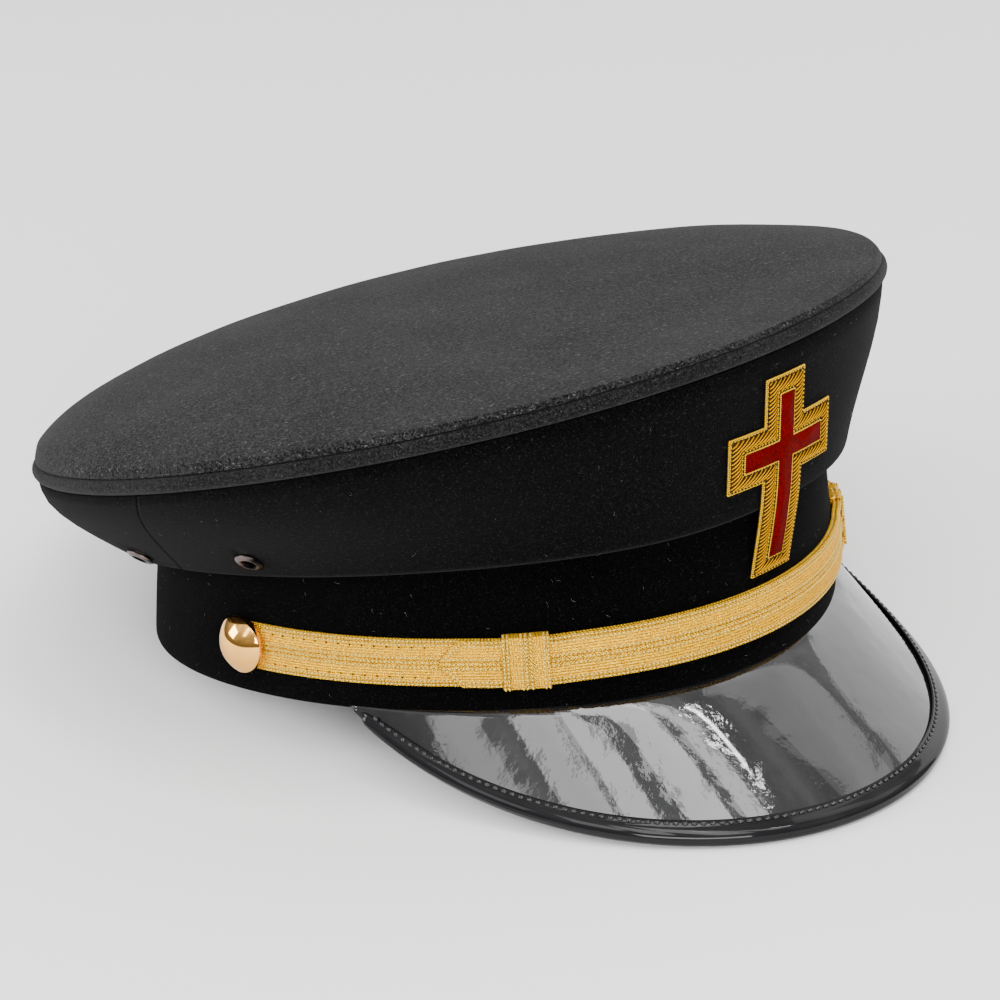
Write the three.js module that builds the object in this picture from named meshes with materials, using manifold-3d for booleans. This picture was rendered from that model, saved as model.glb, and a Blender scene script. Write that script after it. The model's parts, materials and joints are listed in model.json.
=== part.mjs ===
// Fatigue cap: a soft dark wool crown on a stiff band, with a glossy black visor in front,
// a gold lace strap between two gilt buttons, and a padded gold and red cross.
// Lengths are in millimetres, angles in degrees. +Z is up and the front looks along -Y.
// The cap stands as it rests on a table: on the front of the visor and the back of the band.

import * as THREE from 'three';
import ManifoldModule from 'manifold-3d';

// Angles around the cap: 0 is the front, 90 the wearer's left (+X), -90 the wearer's right.
const stepAround = 5;

// Clearances
const gap = 0.3; // between neighbouring pieces
const sleeveGap = 0.3; // between a strap and the keeper around it

// Band
const bandLength = 200; // outside, front to back
const bandWidth = 184; // outside, side to side
const bandWidestBack = 5.8; // how far the widest place lies behind the middle
const bandNarrowing = 0.03; // share by which the front half is narrower and the back half wider
const bandWall = 3;
const bandEdge = { front: -1.6, side: 1.6, back: -1.6 }; // the lower edge rises over the ears
const bandEdgeFade = 58; // height at which that rise has gone
const bandLean = { front: 2, side: -5.5, back: -11.4 }; // outward lean of the wall
const bandHeight = { front: 40.3, side: 32.8, back: 26.5 }; // up to the crease under the crown
const bandHeightWave = 0.85;
const bandRounding = 0.8;

// Crown
const crownLength = 238; // piping centre to piping centre, front to back
const crownWidth = 238;
const crownSetBack = 6.5; // centre of the crown behind the centre of the band
const pipingHeight = { front: 86.5, side: 67.4, back: 44.2 };
const pipingWidth = 4.3;
const clothWall = 2;
const clothProud = 0.8; // how far the cloth faces stand outside the centre of the piping
const crownRise = 11.2; // swell of the top above its rolled edge
const crownRiseTilt = -11.1; // the top swells less over the front than over the back
const topRoll = 1.6; // radius of the rolled edge of the top
const shoulderPower = 2.9;
const shoulderRoot = 1.67;
const kneeOut = { front: 7.6, side: 7, back: 15.5 }; // the side first swells out over the band
const kneeDent = 2.4; // the swell lies flatter behind the cross
const kneeDentAngle = 16;
const kneeLift = { front: 3.2, side: 2.8, back: -2.2 };
const kneeSlope = { front: 80, side: 52, back: 25 }; // above the level, where the swell ends
const kneeRun = { front: 10.5, side: 9, back: 8.4 }; // how far it keeps that slope
const headIn = { front: 2.4, side: -1, back: -1.2 }; // how far the upper turn lies inward
const headDrop = { front: 19, side: 7, back: 12.5 };

// Visor
const visorHalfAngle = 72;
const visorReach = 50.8; // along the slope in the middle
const visorPower = 0.865; // how quickly the reach runs out toward the ears
const visorSlope = 43; // below the level in the middle
const visorSlopeMore = 23; // added toward the ears
const visorForward = 0.43; // share of straight ahead in the direction of the slope
const visorThickness = 2;
const visorTuck = 2.4; // how far the visor runs in below the band
const rimFold = 7; // width of the binding folded over the edge
const rimWall = 0.7;
const rimNose = 1; // solid nose of the binding outside the visor edge

// Strap
const strapWidth = 13.1;
const strapThickness = 0.8;
const strapHeight = 6.8; // lower edge above the lower edge of the band
const strapTip = 56; // angle of the pointed end past the keeper
const strapShoulder = 53; // angle where the point begins
const strapEnd = 92; // angle of the end under the button
const strapTipWidth = 1.6;
const keeperAngles = { right: 43.3, left: 41 };
const keeperWidth = 12;
const keeperLean = 3.4; // how far the top of a keeper leans toward the front
const keeperBack = 0.4;
const keeperFront = 0.6;
const keeperEdge = 0.4;
const keeperRamp = 5; // angle over which the strap comes down beside a keeper
const stepRamp = [58, 65]; // angles between which the upper strap comes down on the band

// Buttons
const buttonWidth = 15.8;
const buttonHeight = 5.6;
const buttonRim = 1.9;
const buttonAngle = 89.7;

// Vent eyelets
const eyeletWidth = 7.8;
const eyeletHole = 4;
const eyeletBarrel = 0.45;
const eyeletBehind = 0.9; // room behind the bent cloth before the clenched end
const eyeletClench = 0.6;
const eyeletStand = 0.75; // from the cloth at the hole to the back of the flange
const eyeletAngles = [81.5, 106];
const eyeletPlace = 1.18; // just above the swell over the crease

// Cross
const crossHeight = 57.2;
const crossSpan = 40.5;
const crossArm = 15.6; // width of the upright and of the arms, border to border
const crossArmBelowTop = 13;
const crossBorder = 5.2;
const crossFootHeight = 23; // lower end above the lower edge of the band
const crossBend = 115; // radius of the bend around the front
const crossPad = 2.4;
const crossEdge = 1.1;
const crossField = 1.5;

const wasm = await ManifoldModule();
wasm.setup();

const radians = (degrees) => (degrees * Math.PI) / 180;
const up = new THREE.Vector3(0, 0, 1);

// A value given at the front, the sides and the back, carried smoothly around.
function around(values, angle) {
  const mean = (values.front + values.back) / 4 + values.side / 2;
  const swing = (values.front - values.back) / 2;
  const saddle = (values.front + values.back) / 4 - values.side / 2;
  return mean + swing * Math.cos(radians(angle)) + saddle * Math.cos(radians(2 * angle));
}

function anglesBetween(from, to, count) {
  const list = [];
  for (let i = 0; i <= count; i += 1) {
    list.push(from + ((to - from) * i) / count);
  }
  return list;
}

// Angles of one whole turn, the last one left out because it closes on the first.
const turn = anglesBetween(-180, 180, 360 / stepAround).slice(0, -1);

function smoothStep(from, to, value) {
  const share = Math.min(1, Math.max(0, (value - from) / (to - from)));
  return share * share * (3 - 2 * share);
}

// Outward direction of the band, level.
function outward(angle) {
  const x = Math.sin(radians(angle)) / bandWidth;
  const y = -Math.cos(radians(angle)) / bandLength;
  return new THREE.Vector3(x, y, 0).normalize();
}

// Point on the outer face of the band at a height, moved outward by `out`.
function bandPoint(angle, height, out = 0) {
  const c = Math.cos(radians(angle));
  const x = (bandWidth / 2) * Math.sin(radians(angle)) * (1 - bandNarrowing * c);
  const y = (-bandLength / 2) * c + (bandWidestBack / 2) * (1 - Math.cos(radians(2 * angle)));
  const lean = height * Math.tan(radians(around(bandLean, angle)));
  const edge = around(bandEdge, angle) * (1 - height / bandEdgeFade);
  return new THREE.Vector3(x, y, height + edge).addScaledVector(outward(angle), lean + out);
}

function creaseHeight(angle) {
  return around(bandHeight, angle) - bandHeightWave * (Math.cos(radians(3 * angle)) - Math.cos(radians(angle)));
}

function pipingPoint(angle) {
  const x = (crownWidth / 2) * Math.sin(radians(angle));
  const y = crownSetBack - (crownLength / 2) * Math.cos(radians(angle));
  return new THREE.Vector3(x, y, around(pipingHeight, angle));
}

// Outward direction of the crown, level.
function crownOutward(angle) {
  const x = Math.sin(radians(angle)) / crownWidth;
  const y = -Math.cos(radians(angle)) / crownLength;
  return new THREE.Vector3(x, y, 0).normalize();
}

function triangleMesh(points, faces) {
  const geometry = new THREE.BufferGeometry();
  const flat = points.flatMap((p) => [p.x, p.y, p.z]);
  geometry.setAttribute('position', new THREE.Float32BufferAttribute(flat, 3));
  let volume = 0;
  for (const [a, b, c] of faces) {
    volume += points[a].dot(new THREE.Vector3().crossVectors(points[b], points[c]));
  }
  const index = volume > 0 ? faces.flat() : faces.map(([a, b, c]) => [a, c, b]).flat();
  geometry.setIndex(index);
  geometry.computeVertexNormals();
  return geometry;
}

// Body between rings of equally many points. It closes from the last ring to the first one,
// or on the two pole points, or with flat ends.
function ringBody(rings, ends = {}) {
  const width = rings[0].length;
  const points = rings.flat();
  const faces = [];
  const bands = ends.poles || ends.flat ? rings.length - 1 : rings.length;
  for (let i = 0; i < bands; i += 1) {
    const next = ((i + 1) % rings.length) * width;
    for (let j = 0; j < width; j += 1) {
      const k = (j + 1) % width;
      faces.push([i * width + j, i * width + k, next + k]);
      faces.push([i * width + j, next + k, next + j]);
    }
  }
  const lastRing = (rings.length - 1) * width;
  if (ends.poles) {
    const first = points.push(ends.poles[0]) - 1;
    const last = points.push(ends.poles[1]) - 1;
    for (let j = 0; j < width; j += 1) {
      const k = (j + 1) % width;
      faces.push([first, k, j]);
      faces.push([last, lastRing + j, lastRing + k]);
    }
  }
  if (ends.flat) {
    const reversed = THREE.ShapeUtils.isClockWise(ends.flat);
    for (const triangle of THREE.ShapeUtils.triangulateShape(ends.flat, [])) {
      const [a, b, c] = reversed ? triangle.reverse() : triangle;
      faces.push([c, b, a]);
      faces.push([lastRing + a, lastRing + b, lastRing + c]);
    }
  }
  return triangleMesh(points, faces);
}

// A line of points moved square to itself, inside the plane that stands across `across`.
function offsetLine(line, across, distance) {
  return line.map((point, i) => {
    const before = line[Math.max(0, i - 1)];
    const after = line[Math.min(line.length - 1, i + 1)];
    const travel = new THREE.Vector3().subVectors(after, before);
    const square = new THREE.Vector3().crossVectors(travel, across).normalize();
    return point.clone().addScaledVector(square, distance);
  });
}

// Rings from lines that run across them, one line for each angle.
function ringsFromLines(lines) {
  return lines[0].map((_, row) => lines.map((line) => line[row]));
}

function bezier(a, b, c, d, t) {
  const s = 1 - t;
  return new THREE.Vector3()
    .addScaledVector(a, s * s * s)
    .addScaledVector(b, 3 * s * s * t)
    .addScaledVector(c, 3 * s * t * t)
    .addScaledVector(d, t * t * t);
}

// Band
function bandSection(angle) {
  const top = creaseHeight(angle);
  const r = bandRounding;
  return [
    bandPoint(angle, 0, -r),
    bandPoint(angle, r, 0),
    bandPoint(angle, top / 2, 0),
    bandPoint(angle, top - r / 2, 0),
    bandPoint(angle, top, -r / 2),
    bandPoint(angle, top, -bandWall),
    bandPoint(angle, top / 2, -bandWall),
    bandPoint(angle, 0, -bandWall),
  ];
}
const bandGeometry = ringBody(ringsFromLines(turn.map(bandSection)));

// Side of the crown
// Share 0 is the crease, 1 the end of the swell, 2 the seam under the piping.
function sideFacePoint(angle, share) {
  const n = crownOutward(angle);
  const move = (point, out, lift) => point.clone().addScaledVector(n, out).addScaledVector(up, lift);
  const foot = move(bandPoint(angle, creaseHeight(angle)), 0, gap);
  const out = around(kneeOut, angle) - kneeDent * Math.exp(-((angle / kneeDentAngle) ** 2));
  const lift = around(kneeLift, angle);
  const slope = radians(around(kneeSlope, angle));
  const knee = move(foot, out, lift);
  if (share < 1) {
    const bend = move(knee, -Math.cos(slope) * out * 0.35, -Math.sin(slope) * out * 0.35);
    return bezier(foot, move(foot, out * 0.6, 0), bend, knee, share);
  }
  const run = around(kneeRun, angle);
  const rise = move(knee, Math.cos(slope) * run, Math.sin(slope) * run);
  const head = move(pipingPoint(angle), clothProud, -pipingWidth / 2 - gap);
  const headTurn = move(head, -around(headIn, angle), -around(headDrop, angle));
  return bezier(knee, rise, headTurn, head, share - 1);
}

const sideShares = [0, 0.4, 0.75, 1, 1.22, 1.48, 1.75, 2];

function sideSection(angle) {
  const across = new THREE.Vector3().crossVectors(up, crownOutward(angle));
  const face = sideShares.map((share) => sideFacePoint(angle, share));
  const back = offsetLine(face, across, clothWall);
  back[back.length - 1] = face[face.length - 1].clone().addScaledVector(crownOutward(angle), -clothWall);
  const inner = face[0].clone().addScaledVector(outward(angle), -bandWall + bandRounding);
  const innerTop = back[0].clone().addScaledVector(outward(angle), -bandWall + bandRounding);
  return [inner, ...face, ...back.reverse(), innerTop];
}
const sideGeometry = ringBody(ringsFromLines(turn.map(sideSection)));

// Piping between the side and the top
const pipingSides = 8;

function pipingSection(angle) {
  const centre = pipingPoint(angle);
  const n = crownOutward(angle);
  return anglesBetween(0, 360, pipingSides)
    .slice(0, -1)
    .map((turnAngle) =>
      centre
        .clone()
        .addScaledVector(n, (pipingWidth / 2) * Math.cos(radians(turnAngle)))
        .addScaledVector(up, (pipingWidth / 2) * Math.sin(radians(turnAngle))),
    );
}
const pipingGeometry = ringBody(ringsFromLines(turn.map(pipingSection)));

// Top of the crown, by the distance in from its edge
const topFace = [0, topRoll * 0.13, topRoll * 0.5, topRoll, 6, 15, 32, 62];
const topBack = [clothProud + pipingWidth / 2 + gap, 7, 16, 33, 62];
const topBase = pipingWidth / 2 + gap;

function topPoint(angle, inward) {
  const edge = pipingPoint(angle).addScaledVector(crownOutward(angle), clothProud);
  const share = 1 - inward / (crownWidth / 2 + clothProud);
  const level = around(pipingHeight, 90);
  const roll = topRoll * Math.sqrt(1 - (1 - Math.min(1, inward / topRoll)) ** 2);
  const swell =
    (crownRise + crownRiseTilt * Math.cos(radians(angle)) * share) *
    (1 - share ** shoulderPower) ** (1 / shoulderRoot);
  const x = edge.x * share;
  const y = crownSetBack + (edge.y - crownSetBack) * share;
  return new THREE.Vector3(x, y, level + (edge.z - level) * share + topBase + roll + swell);
}

function topSection(angle) {
  const face = topFace.map((inward) => topPoint(angle, inward));
  const back = topBack.map((inward) => topPoint(angle, inward).addScaledVector(up, -clothWall));
  back[0].z = pipingPoint(angle).z + topBase;
  return [...face.reverse(), ...back];
}
const topCentre = topPoint(0, crownWidth / 2 + clothProud);
const topGeometry = ringBody(ringsFromLines(turn.map(topSection)), {
  poles: [topCentre, topCentre.clone().addScaledVector(up, -clothWall)],
});

// Visor
function visorReachAt(angle) {
  return visorReach * (1 - (angle / visorHalfAngle) ** 2) ** visorPower;
}

function visorDirection(angle) {
  const level = outward(angle)
    .multiplyScalar(1 - visorForward)
    .add(new THREE.Vector3(0, -visorForward, 0))
    .normalize();
  const slope = radians(visorSlope + visorSlopeMore * (angle / visorHalfAngle) ** 2);
  return level.multiplyScalar(Math.cos(slope)).addScaledVector(up, -Math.sin(slope));
}

// Point of the upper face of the visor, by the distance from the band along the slope.
function visorPoint(angle, reach) {
  return bandPoint(angle, 0).addScaledVector(up, -gap).addScaledVector(visorDirection(angle), reach);
}

// Direction square to the upper face of the visor, pointing up.
function visorUp(angle) {
  const side = visorPoint(angle + 1, visorReachAt(angle) / 2);
  side.sub(visorPoint(angle - 1, visorReachAt(angle) / 2));
  const normal = new THREE.Vector3().crossVectors(visorDirection(angle), side).normalize();
  return normal.z < 0 ? normal.negate() : normal;
}

const visorEnd = visorHalfAngle * 0.985;
const visorAngles = anglesBetween(-visorEnd, visorEnd, 36);
const visorShares = [0, 0.35, 0.7, 1];

function visorSection(angle) {
  const edge = Math.max(0.8, visorReachAt(angle) - rimNose - gap);
  const tuck = bandPoint(angle, 0, -visorTuck).addScaledVector(up, -gap);
  const face = [tuck, ...visorShares.map((share) => visorPoint(angle, edge * share))];
  const down = visorUp(angle).multiplyScalar(-visorThickness);
  const under = face.map((point, i) =>
    i < 1 ? point.clone().addScaledVector(up, -visorThickness) : point.clone().add(down),
  );
  under[1].copy(face[1]).addScaledVector(down, 0.5).addScaledVector(up, -visorThickness / 2);
  return [...face, ...under.reverse()];
}
// The two ends are filled as a bowed strip.
const visorOutline = [0, 1, 2, 3, 4]
  .map((i) => new THREE.Vector2(i, 1 - (i - 2) ** 2 / 10))
  .concat([4, 3, 2, 1, 0].map((i) => new THREE.Vector2(i, 0 - (i - 2) ** 2 / 10)));
const visorGeometry = ringBody(visorAngles.map(visorSection), { flat: visorOutline });

// Binding folded around the visor edge. `back` counts inward from its nose.
function rimOutline(angle) {
  const fold = Math.min(rimFold, visorReachAt(angle) * 0.8);
  const top = gap + rimWall;
  const bottom = -visorThickness - gap - rimWall;
  const half = (top - bottom) / 2;
  const middle = (top + bottom) / 2;
  const nose = [75, 45, 15, -15, -45, -75].map((a) => [
    Math.min(fold, half) * (1 - Math.cos(radians(a))),
    middle + half * Math.sin(radians(a)),
  ]);
  return [
    [fold, gap],
    [fold, top],
    ...nose,
    [fold, bottom],
    [fold, bottom + rimWall],
    [rimNose, bottom + rimWall],
    [rimNose, gap],
  ];
}

const rimEnd = visorHalfAngle * 0.96;
const rimAngles = anglesBetween(-rimEnd, rimEnd, 36);

function rimSection(angle) {
  const nose = visorPoint(angle, visorReachAt(angle));
  const inward = visorDirection(angle).negate();
  const lift = visorUp(angle);
  return rimOutline(angle).map(([back, height]) =>
    nose.clone().addScaledVector(inward, back).addScaledVector(lift, height),
  );
}
const rimFlat = rimOutline(0).map(([back, height]) => new THREE.Vector2(back, height));
const rimGeometry = ringBody(rimAngles.map(rimSection), { flat: rimFlat });

// Strap: the piece from the right button lies below, the piece from the left button above
function strapLift(angle) {
  const keeperAngle = angle < 0 ? keeperAngles.right : keeperAngles.left;
  const fromKeeper = Math.abs(Math.abs(angle) - keeperAngle);
  const inside = keeperHalf();
  const raised = 1 - smoothStep(inside + 0.6, inside + keeperRamp, fromKeeper);
  return gap + raised * (keeperBack + gap);
}

// Half of the keeper width as an angle.
function keeperHalf() {
  const start = bandPoint(keeperAngles.right, strapHeight);
  const arc = bandPoint(keeperAngles.right + 1, strapHeight).distanceTo(start);
  return keeperWidth / 2 / arc;
}

function upperLift(angle) {
  return strapLift(angle) + (strapThickness + gap) * (1 - smoothStep(...stepRamp, angle));
}

function strapSection(angle, lift, width) {
  const middle = strapHeight + strapWidth / 2;
  const low = middle - width / 2;
  const high = middle + width / 2;
  return [
    bandPoint(angle, low, lift),
    bandPoint(angle, high, lift),
    bandPoint(angle, high, lift + strapThickness),
    bandPoint(angle, low, lift + strapThickness),
  ];
}

const strapFlat = [
  new THREE.Vector2(0, 0),
  new THREE.Vector2(1, 0),
  new THREE.Vector2(1, 1),
  new THREE.Vector2(0, 1),
];

// A strap from the button at the negative end to the pointed tip at the positive end.
function strapBody(liftAt, mirrored) {
  const button = [
    [-strapEnd, 0.62],
    [-strapEnd + 1.2, 0.9],
    [-strapEnd + 3, 1],
  ];
  const run = anglesBetween(-strapEnd + 3, strapShoulder, 58)
    .slice(1)
    .map((angle) => [angle, 1]);
  const tip = [[strapTip, strapTipWidth / strapWidth]];
  const sign = mirrored ? -1 : 1;
  const sections = [...button, ...run, ...tip].map(([angle, share]) =>
    strapSection(sign * angle, liftAt(sign * angle), strapWidth * share),
  );
  return ringBody(sections, { flat: strapFlat });
}
const rightStrapGeometry = strapBody(strapLift, false);
const leftStrapGeometry = strapBody(upperLift, true);

// Keepers: closed loops around both straps
function keeperBody(centreAngle) {
  const half = keeperHalf();
  const low = strapHeight - sleeveGap;
  const high = strapHeight + strapWidth + sleeveGap;
  const back = gap + keeperBack;
  const front = back + gap + 2 * strapThickness + gap + sleeveGap;
  const middle = strapHeight + strapWidth / 2;
  const toFront = (-Math.sign(centreAngle) * Math.tan(radians(keeperLean)) * 2 * half) / keeperWidth;
  const place = (angle, height, out) =>
    bandPoint(angle + toFront * (height - middle), height, out);
  const loop = (angle, grown) => {
    const edge = grown ? keeperEdge : 0;
    const face = grown ? keeperFront : 0;
    const rear = grown ? keeperBack : 0;
    const corner = grown ? keeperFront : 0.2;
    return [
      place(angle, low - edge, back - rear),
      place(angle, high + edge, back - rear),
      place(angle, high + edge, front + face - corner),
      place(angle, high + edge - corner / 2, front + face - corner / 4),
      place(angle, high + edge - corner, front + face),
      place(angle, low - edge + corner, front + face),
      place(angle, low - edge + corner / 2, front + face - corner / 4),
      place(angle, low - edge, front + face - corner),
    ];
  };
  const stations = anglesBetween(centreAngle - half, centreAngle + half, 3);
  const outer = stations.map((angle) => loop(angle, true));
  const inner = stations.map((angle) => loop(angle, false)).reverse();
  return ringBody([...outer, ...inner]);
}

// Round pieces, turned about an axis that stands square on a face
function turnedBody(profile, segments, place, direction) {
  const lathe = profile.map(([radius, height]) =>
    anglesBetween(0, 360, segments)
      .slice(0, -1)
      .map((a) =>
        new THREE.Vector3(radius * Math.cos(radians(a)), radius * Math.sin(radians(a)), height),
      ),
  );
  const stand = new THREE.Quaternion().setFromUnitVectors(up, direction);
  return { rings: lathe.map((ring) => ring.map((p) => p.applyQuaternion(stand).add(place))), stand };
}

// Direction square to the band wall.
function bandNormal(angle) {
  const lean = radians(around(bandLean, angle));
  return outward(angle).multiplyScalar(Math.cos(lean)).addScaledVector(up, -Math.sin(lean));
}

function buttonBody(angle) {
  const rear = strapThickness + 2 * gap;
  const place = bandPoint(angle, strapHeight + strapWidth / 2);
  const half = buttonWidth / 2;
  const profile = [
    [half * 0.72, rear],
    [half - 0.25, rear + 0.1],
    [half, rear + buttonRim * 0.6],
    [half - 0.35, rear + buttonRim],
    [half * 0.8, rear + buttonHeight * 0.52],
    [half * 0.52, rear + buttonHeight * 0.84],
    [half * 0.22, rear + buttonHeight * 0.98],
  ];
  const normal = bandNormal(angle);
  const { rings } = turnedBody(profile, 20, place, normal);
  const poles = [rear, rear + buttonHeight].map((height) => place.clone().addScaledVector(normal, height));
  return ringBody(rings, { poles });
}

// Place and direction on the side of the crown, for an eyelet.
function eyeletSeat(angle) {
  const place = sideFacePoint(angle, eyeletPlace);
  const rise = sideFacePoint(angle, eyeletPlace + 0.05).sub(sideFacePoint(angle, eyeletPlace - 0.05));
  const run = sideFacePoint(angle + 2, eyeletPlace).sub(sideFacePoint(angle - 2, eyeletPlace));
  const normal = new THREE.Vector3().crossVectors(run, rise).normalize();
  if (normal.dot(crownOutward(angle)) < 0) {
    normal.negate();
  }
  return { place, normal };
}

function eyeletBody(angle) {
  const { place, normal } = eyeletSeat(angle);
  const inner = eyeletHole / 2;
  const barrel = inner + eyeletBarrel;
  const flange = eyeletWidth / 2;
  const rear = -clothWall - eyeletBehind;
  const profile = [
    [inner, rear - eyeletBarrel],
    [barrel + eyeletClench, rear - eyeletBarrel],
    [barrel + eyeletClench, rear],
    [barrel, rear],
    [barrel, eyeletStand],
    [flange, eyeletStand],
    [flange, eyeletStand + 0.3],
    [(inner + flange) / 2, eyeletStand + 0.8],
    [inner, eyeletStand + 0.4],
  ];
  return ringBody(turnedBody(profile, 10, place, normal).rings);
}

// Solid with round holes taken out
function toManifold(geometry) {
  const position = geometry.getAttribute('position');
  const mesh = new wasm.Mesh({
    numProp: 3,
    vertProperties: new Float32Array(position.array),
    triVerts: new Uint32Array(geometry.getIndex().array),
  });
  mesh.merge();
  return new wasm.Manifold(mesh);
}

function fromManifold(solid) {
  const mesh = solid.getMesh();
  const geometry = new THREE.BufferGeometry();
  geometry.setAttribute('position', new THREE.Float32BufferAttribute(Array.from(mesh.vertProperties), 3));
  geometry.setIndex(Array.from(mesh.triVerts));
  geometry.computeVertexNormals();
  return geometry;
}

function ventHole(angle) {
  const { place, normal } = eyeletSeat(angle);
  const radius = eyeletHole / 2 + eyeletBarrel + gap;
  const profile = [
    [radius, -clothWall * 3],
    [radius, clothWall * 3],
  ];
  const { rings } = turnedBody(profile, 10, place, normal);
  const poles = [-1, 1].map((sign) => place.clone().addScaledVector(normal, sign * clothWall * 3));
  return ringBody(rings, { poles });
}

const ventAngles = eyeletAngles.flatMap((angle) => [-angle, angle]);
let sideSolid = toManifold(sideGeometry);
for (const angle of ventAngles) {
  sideSolid = sideSolid.subtract(toManifold(ventHole(angle)));
}
const ventedSideGeometry = fromManifold(sideSolid);

// Cross: a spine up the front of the cap, bent a little around it
function frontFaceAt(height) {
  let low = 0;
  let high = 2;
  for (let i = 0; i < 30; i += 1) {
    const middle = (low + high) / 2;
    if (sideFacePoint(0, middle).z < height) {
      low = middle;
    } else {
      high = middle;
    }
  }
  return sideFacePoint(0, low);
}

const crossFoot = bandPoint(0, crossFootHeight, gap);
const crossWaist = frontFaceAt(crossFootHeight + crossHeight * 0.6).add(new THREE.Vector3(0, -2 * gap, 0));
const crossHead = frontFaceAt(crossFootHeight + crossHeight * 0.95).add(new THREE.Vector3(0, -2 * gap, 0));
const crossSwell = sideFacePoint(0, 1).add(new THREE.Vector3(0, -2 * gap, 0));
const spinePoints = [crossFoot, crossSwell, crossWaist, crossHead];
const crossSpine = new THREE.CatmullRomCurve3(spinePoints, false, 'centripetal');
const spineLength = crossSpine.getLength();

// Point of the cross: sideways, up from its foot, and out from its back face.
function crossPoint(side, rise, out) {
  const share = rise / spineLength;
  const point = crossSpine.getPointAt(Math.min(1, Math.max(0, share)));
  const travel = crossSpine.getTangentAt(Math.min(1, Math.max(0, share)));
  point.addScaledVector(travel, rise - Math.min(1, Math.max(0, share)) * spineLength);
  const face = new THREE.Vector3().crossVectors(travel, new THREE.Vector3(1, 0, 0)).normalize();
  const bend = (side * side) / (2 * crossBend);
  point.x += side;
  point.y += bend;
  return point.addScaledVector(face.y > 0 ? face.negate() : face, out);
}

// Corners of the cross outline drawn in by `inset`, counter-clockwise from the lower right.
function crossCorners(inset) {
  const half = crossArm / 2 - inset;
  const reach = crossSpan / 2 - inset;
  const armTop = crossHeight - crossArmBelowTop - inset;
  const armLow = crossHeight - crossArmBelowTop - crossArm + inset;
  return [
    [half, inset],
    [half, armLow],
    [reach, armLow],
    [reach, armTop],
    [half, armTop],
    [half, crossHeight - inset],
    [-half, crossHeight - inset],
    [-half, armTop],
    [-reach, armTop],
    [-reach, armLow],
    [-half, armLow],
    [-half, inset],
  ];
}

const crossSplits = [4, 2, 2, 2, 2, 2, 2, 2, 2, 2, 4, 2];

function crossLoop(inset, out) {
  const corners = crossCorners(inset);
  return corners.flatMap(([x, z], i) => {
    const [nextX, nextZ] = corners[(i + 1) % corners.length];
    return anglesBetween(0, 1, crossSplits[i])
      .slice(0, -1)
      .map((t) => crossPoint(x + (nextX - x) * t, z + (nextZ - z) * t, out));
  });
}
const borderGeometry = ringBody([
  crossLoop(0.2, 0),
  crossLoop(0, crossEdge),
  crossLoop(crossBorder / 2, crossPad),
  crossLoop(crossBorder - gap, crossEdge),
  crossLoop(crossBorder - gap, 0),
]);

// Red field inside the border, made of cells so that it follows the bend.
function fieldBody() {
  const half = crossArm / 2 - crossBorder;
  const reach = crossSpan / 2 - crossBorder;
  const armTop = crossHeight - crossArmBelowTop - crossBorder;
  const armLow = crossHeight - crossArmBelowTop - crossArm + crossBorder;
  const sides = [-reach, -(reach + half) / 2, -half, half, (reach + half) / 2, reach];
  const low = crossBorder;
  const rises = [low, low + (armLow - low) / 3, low + ((armLow - low) * 2) / 3, armLow, armTop];
  rises.push((armTop + crossHeight - crossBorder) / 2, crossHeight - crossBorder);
  const inside = (i, j) => (i === 2 && j >= 0 && j < rises.length - 1) || (j === 3 && i >= 0 && i < 5);
  const points = [];
  const faces = [];
  const at = new Map();
  const corner = (i, j, k) => {
    const key = `${i},${j},${k}`;
    if (!at.has(key)) {
      at.set(key, points.push(crossPoint(sides[i], rises[j], k ? crossField : 0)) - 1);
    }
    return at.get(key);
  };
  const quad = (a, b, c, d) => faces.push([a, b, c], [a, c, d]);
  for (let i = 0; i < sides.length - 1; i += 1) {
    for (let j = 0; j < rises.length - 1; j += 1) {
      if (inside(i, j)) {
        quad(corner(i, j, 1), corner(i + 1, j, 1), corner(i + 1, j + 1, 1), corner(i, j + 1, 1));
        quad(corner(i, j, 0), corner(i, j + 1, 0), corner(i + 1, j + 1, 0), corner(i + 1, j, 0));
        const walls = [
          [i, j - 1, i, j, i + 1, j],
          [i + 1, j, i + 1, j, i + 1, j + 1],
          [i, j + 1, i + 1, j + 1, i, j + 1],
          [i - 1, j, i, j + 1, i, j],
        ];
        for (const [ni, nj, ai, aj, bi, bj] of walls) {
          if (!inside(ni, nj)) {
            quad(corner(ai, aj, 0), corner(bi, bj, 0), corner(bi, bj, 1), corner(ai, aj, 1));
          }
        }
      }
    }
  }
  return triangleMesh(points, faces);
}

// Materials
function finish(color, roughness, metalness) {
  return new THREE.MeshStandardMaterial({ color, roughness, metalness });
}

const cap = new THREE.Group();
cap.name = 'cap';

function addPiece(name, geometry, material) {
  const mesh = new THREE.Mesh(geometry, material);
  mesh.name = name;
  material.name = `${name}_finish`;
  cap.add(mesh);
  return mesh;
}

addPiece('crown_top', topGeometry, finish(0x2b2b2d, 0.95, 0));
addPiece('crown_piping', pipingGeometry, finish(0x262628, 0.95, 0));
addPiece('crown_side', ventedSideGeometry, finish(0x1b1b1d, 0.95, 0));
addPiece('band', bandGeometry, finish(0x151517, 0.95, 0));
addPiece('visor', visorGeometry, finish(0x0c0c0d, 0.1, 0));
addPiece('visor_rim', rimGeometry, finish(0x0d0d0e, 0.2, 0));
addPiece('strap_right', rightStrapGeometry, finish(0xd8b266, 0.5, 0.4));
addPiece('strap_left', leftStrapGeometry, finish(0xd8b266, 0.5, 0.4));
addPiece('keeper_right', keeperBody(-keeperAngles.right), finish(0xe3c57d, 0.5, 0.4));
addPiece('keeper_left', keeperBody(keeperAngles.left), finish(0xe3c57d, 0.5, 0.4));
addPiece('button_right', buttonBody(-buttonAngle), finish(0xe0b455, 0.2, 1));
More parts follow.
